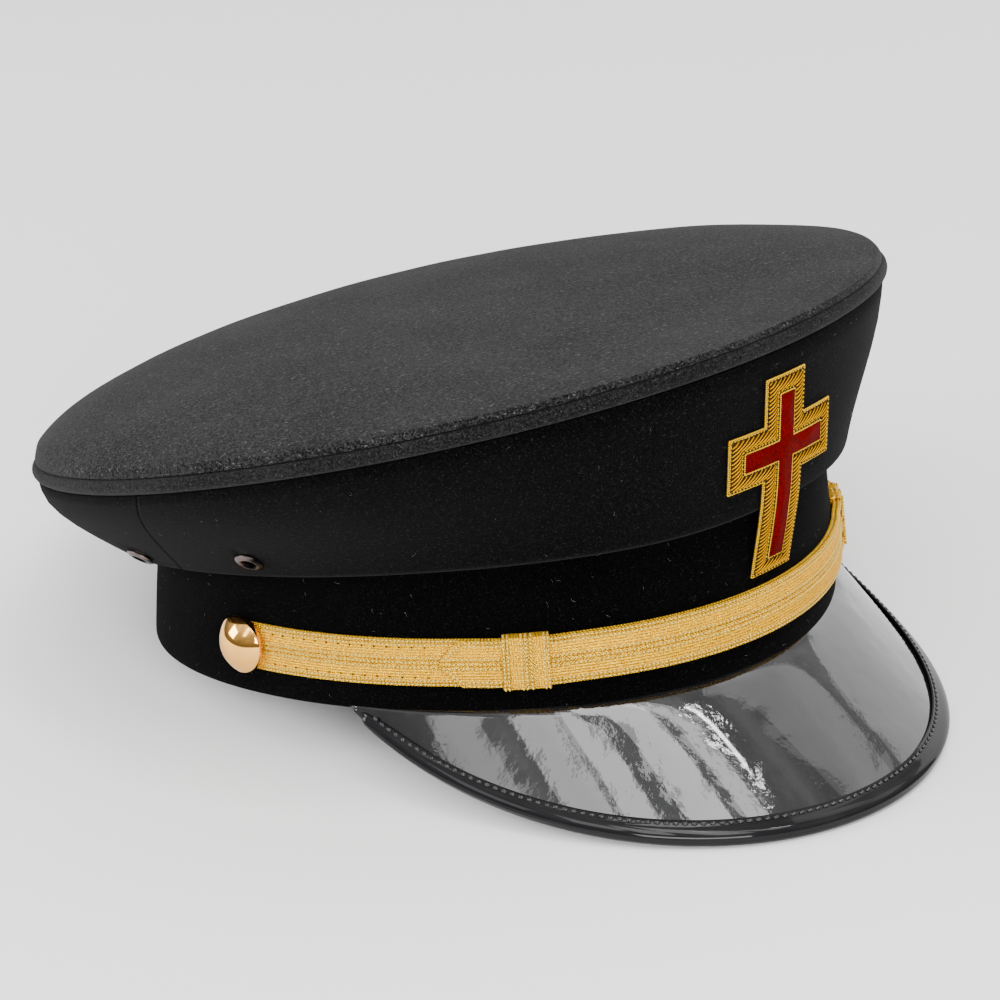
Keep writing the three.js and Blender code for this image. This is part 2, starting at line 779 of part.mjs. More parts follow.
addPiece('button_left', buttonBody(buttonAngle), finish(0xe0b455, 0.2, 1));
addPiece('eyelet_right_front', eyeletBody(-eyeletAngles[0]), finish(0x6c5c58, 0.45, 0.8));
addPiece('eyelet_right_back', eyeletBody(-eyeletAngles[1]), finish(0x6c5c58, 0.45, 0.8));
addPiece('eyelet_left_front', eyeletBody(eyeletAngles[0]), finish(0x6c5c58, 0.45, 0.8));
addPiece('eyelet_left_back', eyeletBody(eyeletAngles[1]), finish(0x6c5c58, 0.45, 0.8));
addPiece('cross_border', borderGeometry, finish(0xd39c2c, 0.4, 0.6));
addPiece('cross_field', fieldBody(), finish(0x8c0812, 0.85, 0));

// Lean the cap back until the visor and the back of the band reach the table together.
function lowest(geometry, tilt) {
  const position = geometry.getAttribute('position');
  let low = Infinity;
  for (let i = 0; i < position.count; i += 1) {
    const height = position.getZ(i) * Math.cos(tilt) - position.getY(i) * Math.sin(tilt);
    low = Math.min(low, height);
  }
  return low;
}

function restTilt() {
  let less = 0;
  let more = radians(25);
  for (let i = 0; i < 40; i += 1) {
    const middle = (less + more) / 2;
    if (lowest(rimGeometry, middle) < lowest(bandGeometry, middle)) {
      less = middle;
    } else {
      more = middle;
    }
  }
  return (less + more) / 2;
}

cap.rotation.x = -restTilt();
cap.updateMatrixWorld(true);
const box = new THREE.Box3().setFromObject(cap, true);
cap.position.set(-(box.min.x + box.max.x) / 2, -(box.min.y + box.max.y) / 2, -box.min.z);

const group = new THREE.Group();
group.name = 'fatigue_cap';
group.add(cap);
group.updateMatrixWorld(true);

export default group;
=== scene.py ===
"""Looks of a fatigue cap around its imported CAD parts.

The cap rests on a pale floor, on the front of its visor and the back of its band. Each
sub-assembly is a class that holds its sizes, in metres, and builds and dresses its pieces.
Angles around the cap are in degrees: 0 is the front, 90 the wearer's left (+X). "Own" places
are those of the upright cap, before it leans back to rest.
"""

import json
import logging
import math
import random
from dataclasses import dataclass, field
from enum import Enum
from typing import Callable, Iterator, Sequence, Union

import bmesh
import bpy
from mathutils import Matrix, Vector, noise


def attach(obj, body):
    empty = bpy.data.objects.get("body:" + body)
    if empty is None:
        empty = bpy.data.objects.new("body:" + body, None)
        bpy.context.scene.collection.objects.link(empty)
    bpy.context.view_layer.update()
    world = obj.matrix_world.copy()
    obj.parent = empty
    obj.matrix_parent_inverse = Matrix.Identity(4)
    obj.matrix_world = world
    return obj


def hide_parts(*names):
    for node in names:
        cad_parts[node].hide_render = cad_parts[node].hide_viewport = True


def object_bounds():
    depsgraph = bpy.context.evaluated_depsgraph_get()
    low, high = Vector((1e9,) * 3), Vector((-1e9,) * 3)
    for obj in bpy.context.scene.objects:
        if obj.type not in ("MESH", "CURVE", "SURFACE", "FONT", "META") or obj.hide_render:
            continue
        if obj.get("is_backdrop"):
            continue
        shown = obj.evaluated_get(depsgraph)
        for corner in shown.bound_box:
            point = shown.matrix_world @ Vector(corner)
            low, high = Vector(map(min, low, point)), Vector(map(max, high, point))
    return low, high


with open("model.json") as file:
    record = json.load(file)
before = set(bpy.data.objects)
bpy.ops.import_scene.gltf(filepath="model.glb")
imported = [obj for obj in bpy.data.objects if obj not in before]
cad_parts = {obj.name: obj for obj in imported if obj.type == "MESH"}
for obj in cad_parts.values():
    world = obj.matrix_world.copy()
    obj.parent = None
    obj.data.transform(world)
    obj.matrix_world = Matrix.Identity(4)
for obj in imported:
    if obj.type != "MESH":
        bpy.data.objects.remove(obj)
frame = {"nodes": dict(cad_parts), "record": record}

log = logging.getLogger("cap")
CAD_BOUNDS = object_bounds()
BODY = "root"
SEED = 7
GOLD_EDGE = (1.0, 0.6, 0.04, 1)
MERGE = 1e-5
MM = 0.001
# Point attribute that finishes read to paint shade: how much a thread or bead faces out, or how far
# out of its hole an eyelet point lies.
FACING = "facing"
JOIN_FACE_ANGLE = 40
JOIN_SHAPE_ANGLE = 60
CLOTH_SHARP = 55
CLOTH_CREASE = 0.6
LACE_SHARP = 40
LACE_EDGE = 0.0002
EASE_ANGLE = 45
# How far on the place lies that gives a stitch its direction, in degrees or as a share of a slope
AHEAD = 0.2
LINT_RADIUS = 0.00002
LINT_POINTS = 4
LINT_LENGTH = (0.0003, 0.0012)
LINT_LIFT = (0.0001, 0.0004)
LINT_ARCH = 0.7

Socket = bpy.types.NodeSocket
Value = Union[float, Sequence[float], Socket]


# Frame of the resting cap

class RestPose:
    """Turns places of the upright cap into places of the resting cap, and back."""

    def __init__(self, record: dict) -> None:
        """Reads the lean from the mount in the record.

        Args:
            record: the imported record, whose first mount is the head opening.
        """
        mount = record["mounts"][0]
        _, back, down = mount["axis"]
        lean = math.atan2(-back, -down)
        self.matrix = Matrix.Translation(mount["pos_m"]) @ Matrix.Rotation(-lean, 4, "X")
        self.inverse = self.matrix.inverted()
        self.turn = self.matrix.to_3x3()

    def place(self, own: Vector) -> Vector:
        """Place of an upright point on the resting cap."""
        return self.matrix @ own

    def own(self, point: Vector) -> Vector:
        """Upright place of a point of the resting cap."""
        return self.inverse @ point

    def aim(self, direction: Vector) -> Vector:
        """Direction of the upright cap, turned with the resting cap."""
        return self.turn @ direction


REST = RestPose(frame["record"])


@dataclass(frozen=True)
class Around:
    """A size given at the front, the sides and the back of the cap."""

    front: float
    side: float
    back: float

    def at(self, angle: float) -> float:
        """The size at an angle around the cap, carried smoothly from one place to the next.

        Args:
            angle: degrees around the cap.

        Returns:
            The size there.
        """
        turn = math.radians(angle)
        ends = (self.front + self.back) / 4
        swing = (self.front - self.back) / 2 * math.cos(turn)
        saddle = (ends - self.side / 2) * math.cos(2 * turn)
        return ends + self.side / 2 + swing + saddle


@dataclass(frozen=True)
class BandForm:
    """Form of the outer face of the band, which carries the strap, the buttons and the visor."""

    length: float = 0.200
    width: float = 0.184
    widest_back: float = 0.0058
    narrowing: float = 0.03
    edge: Around = Around(-0.0016, 0.0016, -0.0016)
    edge_fade: float = 0.058
    lean: Around = Around(2, -5.5, -11.4)
    height: Around = Around(0.0403, 0.0328, 0.0265)
    halvings: int = 24

    def outward(self, angle: float) -> Vector:
        """Level direction square to the band at an angle."""
        turn = math.radians(angle)
        return Vector((math.sin(turn) / self.width, -math.cos(turn) / self.length, 0)).normalized()

    def point(self, angle: float, height: float, out: float = 0.0) -> Vector:
        """Own place on the band.

        Args:
            angle: degrees around the cap.
            height: distance above the lower edge of the band.
            out: distance outward from its face.

        Returns:
            The place on the upright cap.
        """
        turn = math.radians(angle)
        across = self.width / 2 * math.sin(turn) * (1 - self.narrowing * math.cos(turn))
        along = -self.length / 2 * math.cos(turn) + self.widest_back / 2 * (1 - math.cos(2 * turn))
        lean = height * math.tan(math.radians(self.lean.at(angle)))
        rise = height + self.edge.at(angle) * (1 - height / self.edge_fade)
        return Vector((across, along, rise)) + self.outward(angle) * (lean + out)

    def normal(self, angle: float) -> Vector:
        """Own direction square to the leaning wall of the band."""
        lean = math.radians(self.lean.at(angle))
        return self.outward(angle) * math.cos(lean) - Vector((0, 0, math.sin(lean)))

    def angle_of(self, own: Vector) -> float:
        """Angle around the band of an own place, by halving.

        Args:
            own: a place on the upright cap.

        Returns:
            Degrees around the cap, positive to the wearer's left.
        """
        side = 1 if own.x >= 0 else -1
        wanted = math.atan2(abs(own.x), -own.y)
        low, high = 0.0, 180.0
        for _ in range(self.halvings):
            middle = (low + high) / 2
            here = self.point(middle, STRAP_MIDDLE)
            if math.atan2(here.x, -here.y) < wanted:
                low = middle
            else:
                high = middle
        return side * low

    def height_of(self, own: Vector, angle: float) -> float:
        """Distance above the lower edge of the band of an own place at that angle."""
        edge = self.edge.at(angle)
        return (own.z - edge) / (1 - edge / self.edge_fade)

    def arc(self, angle: float, height: float, step: float = 0.5) -> float:
        """Length along the band from the front to an angle, at a height.

        Args:
            angle: degrees around the cap.
            height: distance above the lower edge of the band.
            step: degrees from one measured place to the next.

        Returns:
            The length, below 0 to the wearer's right.
        """
        count = max(1, round(abs(angle) / step))
        places = [self.point(angle * i / count, height) for i in range(count + 1)]
        return math.copysign(sum((b - a).length for a, b in zip(places, places[1:])), angle)


STRAP_LOW = 0.0068
STRAP_WIDTH = 0.0131
STRAP_MIDDLE = STRAP_LOW + STRAP_WIDTH / 2
BAND = BandForm()


# Meshes

def merged_copy(node: str) -> bmesh.types.BMesh:
    """Copies a CAD node, with its loose triangles merged and joined into quads.

    Args:
        node: the name of the CAD node.

    Returns:
        The mesh of the copy.
    """
    bm = bmesh.new()
    bm.from_mesh(frame["nodes"][node].data)
    bmesh.ops.remove_doubles(bm, verts=bm.verts[:], dist=MERGE)
    bmesh.ops.join_triangles(
        bm,
        faces=bm.faces[:],
        angle_face_threshold=math.radians(JOIN_FACE_ANGLE),
        angle_shape_threshold=math.radians(JOIN_SHAPE_ANGLE),
    )
    bmesh.ops.recalc_face_normals(bm, faces=bm.faces[:])
    return bm


def crease_sharp(bm: bmesh.types.BMesh, angle: float, strength: float) -> None:
    """Creases the edges of a mesh that are sharper than an angle.

    Args:
        bm: the mesh.
        angle: the angle between two faces, in degrees.
        strength: the crease, from 0 to 1.
    """
    layer = bm.edges.layers.float.get("crease_edge") or bm.edges.layers.float.new("crease_edge")
    for edge in bm.edges:
        if len(edge.link_faces) == 2 and edge.calc_face_angle() > math.radians(angle):
            edge[layer] = strength


def make_piece(name: str, bm: bmesh.types.BMesh, material: bpy.types.Material,
               stands_for: Sequence[str] = ()) -> bpy.types.Object:
    """Makes a piece of the cap from a mesh and lets it ride on the body.

    Args:
        name: the name of the piece.
        bm: its mesh, which is freed.
        material: its finish.
        stands_for: the CAD nodes that it replaces.

    Returns:
        The new object.
    """
    mesh = bpy.data.meshes.new(name)
    bm.to_mesh(mesh)
    bm.free()
    mesh.materials.append(material)
    mesh.shade_smooth()
    piece = bpy.data.objects.new(name, mesh)
    bpy.context.scene.collection.objects.link(piece)
    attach(piece, BODY)
    if stands_for:
        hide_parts(*stands_for)
    log.info("%s: %d faces", name, len(mesh.polygons))
    return piece


def round_off(piece: bpy.types.Object, levels: int, rounds: int = 3) -> None:
    """Rounds a piece with a subdivision surface that still passes through its own points.

    Args:
        piece: the piece.
        levels: how finely it is divided.
        rounds: how often the points of the cage are corrected.
    """
    goal = [vertex.co.copy() for vertex in piece.data.vertices]
    rounding = piece.modifiers.new("rounding", "SUBSURF")
    rounding.levels = levels
    rounding.render_levels = levels
    for _ in range(rounds):
        seen = piece.evaluated_get(bpy.context.evaluated_depsgraph_get())
        rounded = seen.to_mesh()
        misses = [want - rounded.vertices[i].co for i, want in enumerate(goal)]
        seen.to_mesh_clear()
        for vertex, miss in zip(piece.data.vertices, misses):
            vertex.co += miss
        piece.data.update()


def ease_edges(piece: bpy.types.Object, width: float) -> None:
    """Smooths a thin piece along its length and takes the sharpness off its edges.

    Args:
        piece: the thin piece.
        width: the width of its eased edges.
    """
    smooth = piece.modifiers.new("smooth", "SUBSURF")
    smooth.levels = 1
    smooth.render_levels = 1
    ease = piece.modifiers.new("ease", "BEVEL")
    ease.width = width
    ease.segments = 2
    ease.limit_method = "ANGLE"
    ease.angle_limit = math.radians(EASE_ANGLE)


def apply_modifiers(piece: bpy.types.Object) -> None:
    """Takes the modifiers of a piece into its mesh.

    Args:
        piece: the piece.
    """
    seen = piece.evaluated_get(bpy.context.evaluated_depsgraph_get())
    piece.data = bpy.data.meshes.new_from_object(seen)
    piece.modifiers.clear()
    piece.data.shade_smooth()


def soften(piece: bpy.types.Object, amount: float, spacing: float) -> None:
    """Lets a cloth piece wander a little from its smooth form, but not into the table.

    Args:
        piece: the piece, without modifiers.
        amount: about how far a point moves at most.
        spacing: the distance from one swell to the next.
    """
    finer, finer_share, outward_share, upward_share = 2.3, 0.5, 0.6, 0.5
    bm = bmesh.new()
    bm.from_mesh(piece.data)
    for vertex in bm.verts:
        place = vertex.co / spacing
        swell = noise.noise(place) + finer_share * noise.noise(place * finer)
        level = Vector(vertex.co.xy.normalized()).to_3d()
        vertex.co += level * (swell * amount * outward_share)
        vertex.co.z = max(0.0, vertex.co.z + swell * amount * upward_share)
    bm.to_mesh(piece.data)
    bm.free()


def threads(name: str, paths: Sequence[Sequence[Vector]], radius: float,
            material: bpy.types.Material, outward: Callable[[Vector], Vector] | None = None
            ) -> bpy.types.Object:
    """Makes round threads that follow lines.

    Args:
        name: the name of the piece.
        paths: own places along each thread.
        radius: the radius of the threads.
        material: their finish.
        outward: the own direction away from the cloth at an own place. With it, each point
            stores how much its thread faces that way there, for painted shade on its sides.

    Returns:
        One object with all the threads.
    """
    curve = bpy.data.curves.new(name + "_lines", "CURVE")
    curve.dimensions = "3D"
    curve.bevel_depth = radius
    curve.bevel_resolution = 1
    curve.use_fill_caps = True
    for path in paths:
        line = curve.splines.new("POLY")
        line.points.add(len(path) - 1)
        for point, own in zip(line.points, path):
            point.co = (*REST.place(own), 1)
    holder = bpy.data.objects.new(name + "_lines", curve)
    bpy.context.scene.collection.objects.link(holder)
    seen = holder.evaluated_get(bpy.context.evaluated_depsgraph_get())
    bm = bmesh.new()
    bm.from_mesh(seen.to_mesh())
    bpy.data.objects.remove(holder)
    bmesh.ops.recalc_face_normals(bm, faces=bm.faces[:])
    if outward is not None:
        bm.normal_update()
        layer = bm.verts.layers.float.new(FACING)
        for vertex in bm.verts:
            vertex[layer] = vertex.normal.dot(REST.aim(outward(REST.own(vertex.co))))
    return make_piece(name, bm, material)


@dataclass(frozen=True)
class Bead:
    """Place of one small stitch or bead: its middle, its long direction and its size."""

    middle: Vector
    along: Vector
    normal: Vector
    length: float
    width: float
    height: float

    def matrix(self) -> Matrix:
        """Matrix that puts a ball of radius one in this place.

        Returns:
            The matrix in the frame of the resting cap.
        """
        along = self.along.normalized()
        side = self.normal.cross(along).normalized()
        up = along.cross(side)
        columns = (along * self.length / 2, side * self.width / 2, up * self.height / 2)
        turn = Matrix(columns).transposed()
        return REST.matrix @ Matrix.Translation(self.middle) @ turn.to_4x4()


def beads(name: str, places: Sequence[Bead], material: bpy.types.Material
          ) -> bpy.types.Object:
    """Makes a row of small stitches or beads.

    Args:
        name: the name of the piece.
        places: where each one sits.
        material: their finish.

    Returns:
        One object with all the beads.
    """
    bm = bmesh.new()
    # Each point stores its height within its bead, which the finish uses to paint shade on the
    # lower sides.
    layer = bm.verts.layers.float.new(FACING)
    for place in places:
        matrix = place.matrix()
        upright = matrix.inverted()
        ball = bmesh.ops.create_icosphere(bm, subdivisions=1, radius=1.0, matrix=matrix)
        for vertex in ball["verts"]:
            vertex[layer] = (upright @ vertex.co).z
    bmesh.ops.recalc_face_normals(bm, faces=bm.faces[:])
    return make_piece(name, bm, material)


def lint(name: str, piece: bpy.types.Object, count: int,
         material: bpy.types.Material, chance: random.Random) -> bpy.types.Object:
    """Strews short curled fibres over the faces of a cloth piece.

    Args:
        name: the name of the fibres.
        piece: the cloth piece, without modifiers.
        count: how many fibres there are.
        material: their finish.
        chance: the source of their places and curls.

    Returns:
        One object with all the fibres.
    """
    faces = piece.data.polygons
    paths = []
    for face in chance.choices(faces, weights=[face.area for face in faces], k=count):
        side = Vector([chance.uniform(-1, 1) for _ in range(3)]).cross(face.normal).normalized()
        curl = face.normal.cross(side) * chance.uniform(-1, 1)
        length, lift = chance.uniform(*LINT_LENGTH), chance.uniform(*LINT_LIFT)
        path = []
        for i in range(LINT_POINTS):
            share = i / (LINT_POINTS - 1)
            rise = face.normal * (lift * math.sin(math.pi * LINT_ARCH * share))
            here = side * (length * share) + curl * (length * share ** 2)
            path.append(face.center + here + rise)
        if min(point.z for point in path) > 0:
            paths.append([REST.own(point) for point in path])
    return threads(name, paths, LINT_RADIUS, material)


# Shader nodes

class Shade:
    """Adds nodes to a shader tree and joins them."""

    def __init__(self, tree: bpy.types.NodeTree) -> None:
        """Works on one tree."""
        self.tree = tree

    def node(self, kind: str, inputs: dict[str, Value] | None = None, **settings: object
             ) -> bpy.types.Node:
        """Adds a node.

        Args:
            kind: the type of node, without its usual prefix.
            inputs: numbers, colours or sockets, by input name.
            settings: the node's own settings.

        Returns:
            The new node.
        """
        node = self.tree.nodes.new("ShaderNode" + kind)
        for key, value in settings.items():
            setattr(node, key, value)
        for key, value in (inputs or {}).items():
            self.feed(node.inputs[key], value)
        return node

    def feed(self, socket: Socket, value: Value) -> None:
        """Joins a socket to an input, or sets the input's own value.

        Args:
            socket: the input.
            value: a number, a colour or a socket.
        """
        if isinstance(value, Socket):
            self.tree.links.new(value, socket)
        else:
            socket.default_value = value

    def math(self, operation: str, *values: Value) -> Socket:
        """Result of a Math node.

        Args:
            operation: the kind of sum.
            values: its inputs in order.

        Returns:
            Its value.
        """
        node = self.node("Math", operation=operation)
        for socket, value in zip(node.inputs, values):
            self.feed(socket, value)
        return node.outputs[0]

    def step(self, value: Value, low: float, high: float) -> Socket:
        """Smooth step from 0 at low to 1 at high.

        Args:
            value: what is compared.
            low: where the step begins.
            high: where it ends.

        Returns:
            The value of the step.
        """
        node = self.node("MapRange", interpolation_type="SMOOTHSTEP")
        for key, number in (("Value", value), ("From Min", low), ("From Max", high)):
            self.feed(node.inputs[key], number)
        return node.outputs["Result"]

    def mix(self, share: Value, first: Value, second: Value) -> Socket:
        """Blend of two colours, whose sockets come after those for numbers and vectors.

        Args:
            share: how much of the second colour shows.
            first: the first colour.
            second: the second colour.

        Returns:
            The blended colour.
        """
        node = self.node("Mix", data_type="RGBA")
        self.feed(node.inputs[0], share)
        self.feed(node.inputs[6], first)
        self.feed(node.inputs[7], second)
        return node.outputs[2]

    def noise(self, vector: Value, scale: Value, detail: float = 2.0) -> Socket:
        """Value of a Noise Texture.

        Args:
            vector: the coordinates.
            scale: how fine it is.
            detail: how many finer layers it has.

        Returns:
            The value of the noise.
        """
        inputs = {"Vector": vector, "Scale": scale, "Detail": detail}
        return self.node("TexNoise", inputs).outputs["Fac"]

    def bump(self, height: Value, distance: float, strength: float = 1.0,
             below: Socket | None = None) -> Socket:
        """Normal of a Bump node over another normal.

        Args:
            height: the height that it follows.
            distance: how far a height of 1 rises.
            strength: how strongly it shows.
            below: the normal that it starts from.

        Returns:
            The new normal.
        """
        inputs: dict[str, Value] = {"Height": height, "Distance": distance, "Strength": strength}
        if below is not None:
            inputs["Normal"] = below
        return self.node("Bump", inputs).outputs["Normal"]

    def spread(self, vector: Value, scale: Sequence[float], turn: float = 0.0) -> Socket:
        """Coordinates turned about the vertical and then stretched.

        Args:
            vector: the coordinates.
            scale: how much each axis is stretched.
            turn: the turn about the vertical, in radians.

        Returns:
            The new coordinates.
        """
        turned = self.node("Mapping", {"Vector": vector, "Rotation": (0, 0, turn)})
        inputs = {"Vector": turned.outputs[0], "Scale": tuple(scale)}
        return self.node("Mapping", inputs).outputs[0]


class Effect:
    """A node group with named inputs and outputs that several finishes use."""

    def __init__(self, name: str, inputs: dict[str, float], outputs: Sequence[str]) -> None:
        """Makes the group with one Vector input, number inputs and number outputs.

        Args:
            name: the name of the group.
            inputs: its number inputs, with their usual values.
            outputs: the names of its outputs.
        """
        self.tree = bpy.data.node_groups.new(name, "ShaderNodeTree")
        face = self.tree.interface
        face.new_socket("Vector", in_out="INPUT", socket_type="NodeSocketVector")
        for key, value in inputs.items():
            socket = face.new_socket(key, in_out="INPUT", socket_type="NodeSocketFloat")
            socket.default_value = value
        for key in outputs:
            face.new_socket(key, in_out="OUTPUT", socket_type="NodeSocketFloat")
        self.shade = Shade(self.tree)
        self.given = self.tree.nodes.new("NodeGroupInput").outputs
        self.result = self.tree.nodes.new("NodeGroupOutput").inputs

    def put(self, **results: Socket) -> None:
        """Joins sockets to the outputs of the group."""
        for key, socket in results.items():
            self.tree.links.new(socket, self.result[key])

    def use(self, shade: Shade, vector: Socket, **numbers: float) -> dict[str, Socket]:
        """Places the group in a material.

        Args:
            shade: the material's nodes.
            vector: the coordinates that it follows.
            numbers: values of its number inputs.

        Returns:
            Its outputs by name.
        """
        node = shade.tree.nodes.new("ShaderNodeGroup")
        node.node_tree = self.tree
        shade.feed(node.inputs["Vector"], vector)
        for key, value in numbers.items():
            node.inputs[key].default_value = value
        return {socket.name: socket for socket in node.outputs}


def nap_effect() -> Effect:
    """Felted nap: a fine grain, short pale fibres, and slow changes of tone.

    Returns:
        The group, with the outputs Tone, Fibre and Height.
    """
    effect = Effect("nap", {"Grain": 1500.0}, ["Tone", "Fibre", "Height"])
    shade, given = effect.shade, effect.given
    fine = shade.noise(given["Vector"], given["Grain"])
    slow = shade.noise(given["Vector"], 35.0, 3.0)
    brushed = shade.noise(shade.spread(given["Vector"], (1500, 600, 1300), 0.5), 1.0, 3.0)
    tone = shade.math("MULTIPLY_ADD", fine, 0.5, shade.math("MULTIPLY", brushed, 0.35))
    tone = shade.math("MULTIPLY_ADD", slow, 0.15, tone)
    scales = ((2200, 600, 2200), (500, 2200, 1800))
    strands = [shade.noise(shade.spread(given["Vector"], scale), 1.0, 1.0) for scale in scales]
    thin = [shade.step(strand, 0.66, 0.74) for strand in strands]
    fibre = shade.math("MAXIMUM", *thin)
    effect.put(Tone=tone, Fibre=fibre, Height=shade.math("MULTIPLY_ADD", fibre, 0.4, tone))
    return effect


def wear_effect() -> Effect:
    """Slow blotches and fine scratches of a polished or varnished face.

    Returns:
        The group, with the outputs Blotch and Scratch.
    """
    effect = Effect("handling", {"Size": 120.0}, ["Blotch", "Scratch"])
    shade, given = effect.shade, effect.given
    blotch = shade.noise(given["Vector"], given["Size"], 4.0)
    fine = shade.noise(shade.spread(given["Vector"], (3000, 200, 3000), 0.6), 1.0)
    effect.put(Blotch=blotch, Scratch=shade.step(fine, 0.62, 0.75))
    return effect


def lace_effect() -> Effect:
    """Woven lace along x, across y from 0 to 1: edge rows, plain fields and a middle of chevrons.

    The tone is 1 on the tops of the threads and 0 between them, so it paints highlight on the tops
    and shade between them; painted glints are added too.
    """
    effect = Effect("lace", {"Threads": 15.0}, ["Tone", "Height"])
    shade, given = effect.shade, effect.given
    parts = shade.node("SeparateXYZ", {"Vector": given["Vector"]}).outputs
    along, across = parts["X"], parts["Y"]
    offset = shade.math("ABSOLUTE", shade.math("SUBTRACT", across, 0.5))
    from_middle = shade.math("MULTIPLY", offset, 2)

    def ripple(value: Value, low: float = 0.0) -> Socket:
        """Round ridges with narrow grooves, one for each whole number."""
        wave = shade.math("SINE", shade.math("MULTIPLY", value, math.pi))
        return shade.math("MAXIMUM", shade.math("ABSOLUTE", wave), low)

    beat = shade.math("MULTIPLY", along, given["Threads"])
    slant = shade.math("MULTIPLY_ADD", from_middle, 9.0, beat)
    rows = ripple(shade.math("MULTIPLY_ADD", from_middle, 5.0, 0.5))
    middle = shade.math("MULTIPLY", ripple(slant), rows)
    weft = ripple(shade.math("MULTIPLY", beat, 1.5), 0.55)
    warp = ripple(shade.math("MULTIPLY", across, 17.0), 0.35)
    plain = shade.math("MULTIPLY", weft, warp)
    edge_cords = ripple(shade.math("MULTIPLY", from_middle, 12.5))
    edge_row = shade.math("MULTIPLY", ripple(beat), edge_cords)
    in_middle = shade.math("SUBTRACT", 1.0, shade.step(from_middle, 0.23, 0.25))
    at_edge = shade.step(from_middle, 0.79, 0.81)
    height = shade.math("MULTIPLY", plain, 0.8)
    for share, form in ((in_middle, middle), (at_edge, edge_row)):
        blend = shade.node("Mix", {"Factor": share, "A": height, "B": form}, data_type="FLOAT")
        height = blend.outputs["Result"]
    streak = shade.noise(shade.spread(given["Vector"], (3, 34, 1)), 1.0, 2.0)
    painted_glint = shade.noise(shade.spread(given["Vector"], (22, 46, 1)), 1.0, 1.0)
    # Tone: painted shade between threads and painted highlight on their tops, with random streaks
    # and painted glints.
    tone = shade.math("MULTIPLY_ADD", streak, 0.4, shade.math("MULTIPLY", height, 0.6))
    tone = shade.math("MULTIPLY_ADD", shade.step(painted_glint, 0.5, 0.62), 0.5, tone)
    effect.put(Tone=tone, Height=height)
    return effect


class Coordinates(Enum):
    """What the pattern of a finish follows."""

    OBJECT = "Object"
    UV = "UV"


def start_material(name: str, follows: Coordinates = Coordinates.OBJECT
                   ) -> tuple[bpy.types.Material, Shade, bpy.types.Node, Socket]:
    """Makes a material with only its Principled shader.

    Args:
        name: the name of the material.
        follows: the coordinates of its pattern.

    Returns:
        The material, its nodes, its shader and its coordinates.
    """
    material = bpy.data.materials.new(name)
    material.use_nodes = True
    material.node_tree.nodes.clear()
    shade = Shade(material.node_tree)
    shader = shade.node("BsdfPrincipled")
    output = shade.node("OutputMaterial")
    shade.feed(output.inputs["Surface"], shader.outputs["BSDF"])
    return material, shade, shader, shade.node("TexCoord").outputs[follows.value]


@dataclass(frozen=True)
class WoolFinish:
    """Milled black wool with a short nap. The defaults are the lit top; darker copies are painted
    shade.
    """

    name: str = "lit_black_wool"
    deep: tuple = (0.0003, 0.0003, 0.0003, 1)
    nap: tuple = (0.0165, 0.0165, 0.017, 1)
    fibre: tuple = (0.09, 0.09, 0.09, 1)
    grain: float = 2000.0
    tones: tuple = (0.43, 0.57)
    sheen: float = 0.03
    specular: float = 0.1
    seams: bool = False

    def make(self, nap: Effect) -> bpy.types.Material:
        """Makes the material.

        Args:
            nap: the group for the nap.

        Returns:
            The new material.
        """
        material, shade, shader, vector = start_material(self.name)
        felt = nap.use(shade, vector, Grain=self.grain)
        colour = shade.mix(shade.step(felt["Tone"], *self.tones), self.deep, self.nap)
        colour = shade.mix(shade.math("MULTIPLY", felt["Fibre"], 0.7), colour, self.fibre)
        normal = shade.bump(felt["Height"], 0.0003, 0.8)
        if self.seams:
            offset = shade.node("Attribute", attribute_name="seam").outputs["Fac"]
            ridge = shade.step(shade.math("ABSOLUTE", offset), 0.0, 0.0009)
            colour = shade.mix(shade.step(ridge, 0.0, 0.5), self.deep, colour)
            normal = shade.bump(ridge, 0.0006, 1.0, normal)
        shade.feed(shader.inputs["Base Color"], colour)
        shade.feed(shader.inputs["Normal"], normal)
        shader.inputs["Roughness"].default_value = 0.95
        shader.inputs["Specular IOR Level"].default_value = self.specular
        shader.inputs["Sheen Weight"].default_value = self.sheen
        shader.inputs["Sheen Roughness"].default_value = 0.55
        return material


@dataclass(frozen=True)
class PatentFinish:
    """Glossy black varnished leather, a little wavy."""

    name: str = "black_patent"
    deep: tuple = (0.003, 0.003, 0.0033, 1)
    haze: tuple = (0.010, 0.010, 0.011, 1)
    waves: float = 55.0
    wave_height: float = 0.0006
    ripple: float = 0.00004
    pores: float = 0.00003
    specular: float = 0.4
    coat: float = 0.5

    def make(self, wear: Effect) -> bpy.types.Material:
        """Makes the material.

        Args:
            wear: the group for handling marks.

        Returns:
            The new material.
        """
        material, shade, shader, vector = start_material(self.name)
        marks = wear.use(shade, vector, Size=90.0)
        shade.feed(shader.inputs["Base Color"], shade.mix(marks["Blotch"], self.deep, self.haze))
        rough = shade.math("MULTIPLY_ADD", marks["Blotch"], 0.05, 0.03)
        rough = shade.math("MULTIPLY_ADD", marks["Scratch"], 0.06, rough)
        shade.feed(shader.inputs["Roughness"], rough)
        normal = shade.bump(shade.noise(vector, self.waves), self.wave_height)
        normal = shade.bump(shade.noise(vector, 260.0), self.ripple, 1.0, normal)
        normal = shade.bump(shade.noise(vector, 750.0), self.pores, 1.0, normal)
        shade.feed(shader.inputs["Normal"], normal)
        shader.inputs["Specular IOR Level"].default_value = self.specular
        shader.inputs["Coat Weight"].default_value = self.coat
        shader.inputs["Coat Roughness"].default_value = 0.03
        shader.inputs["Coat IOR"].default_value = 1.55
        return material


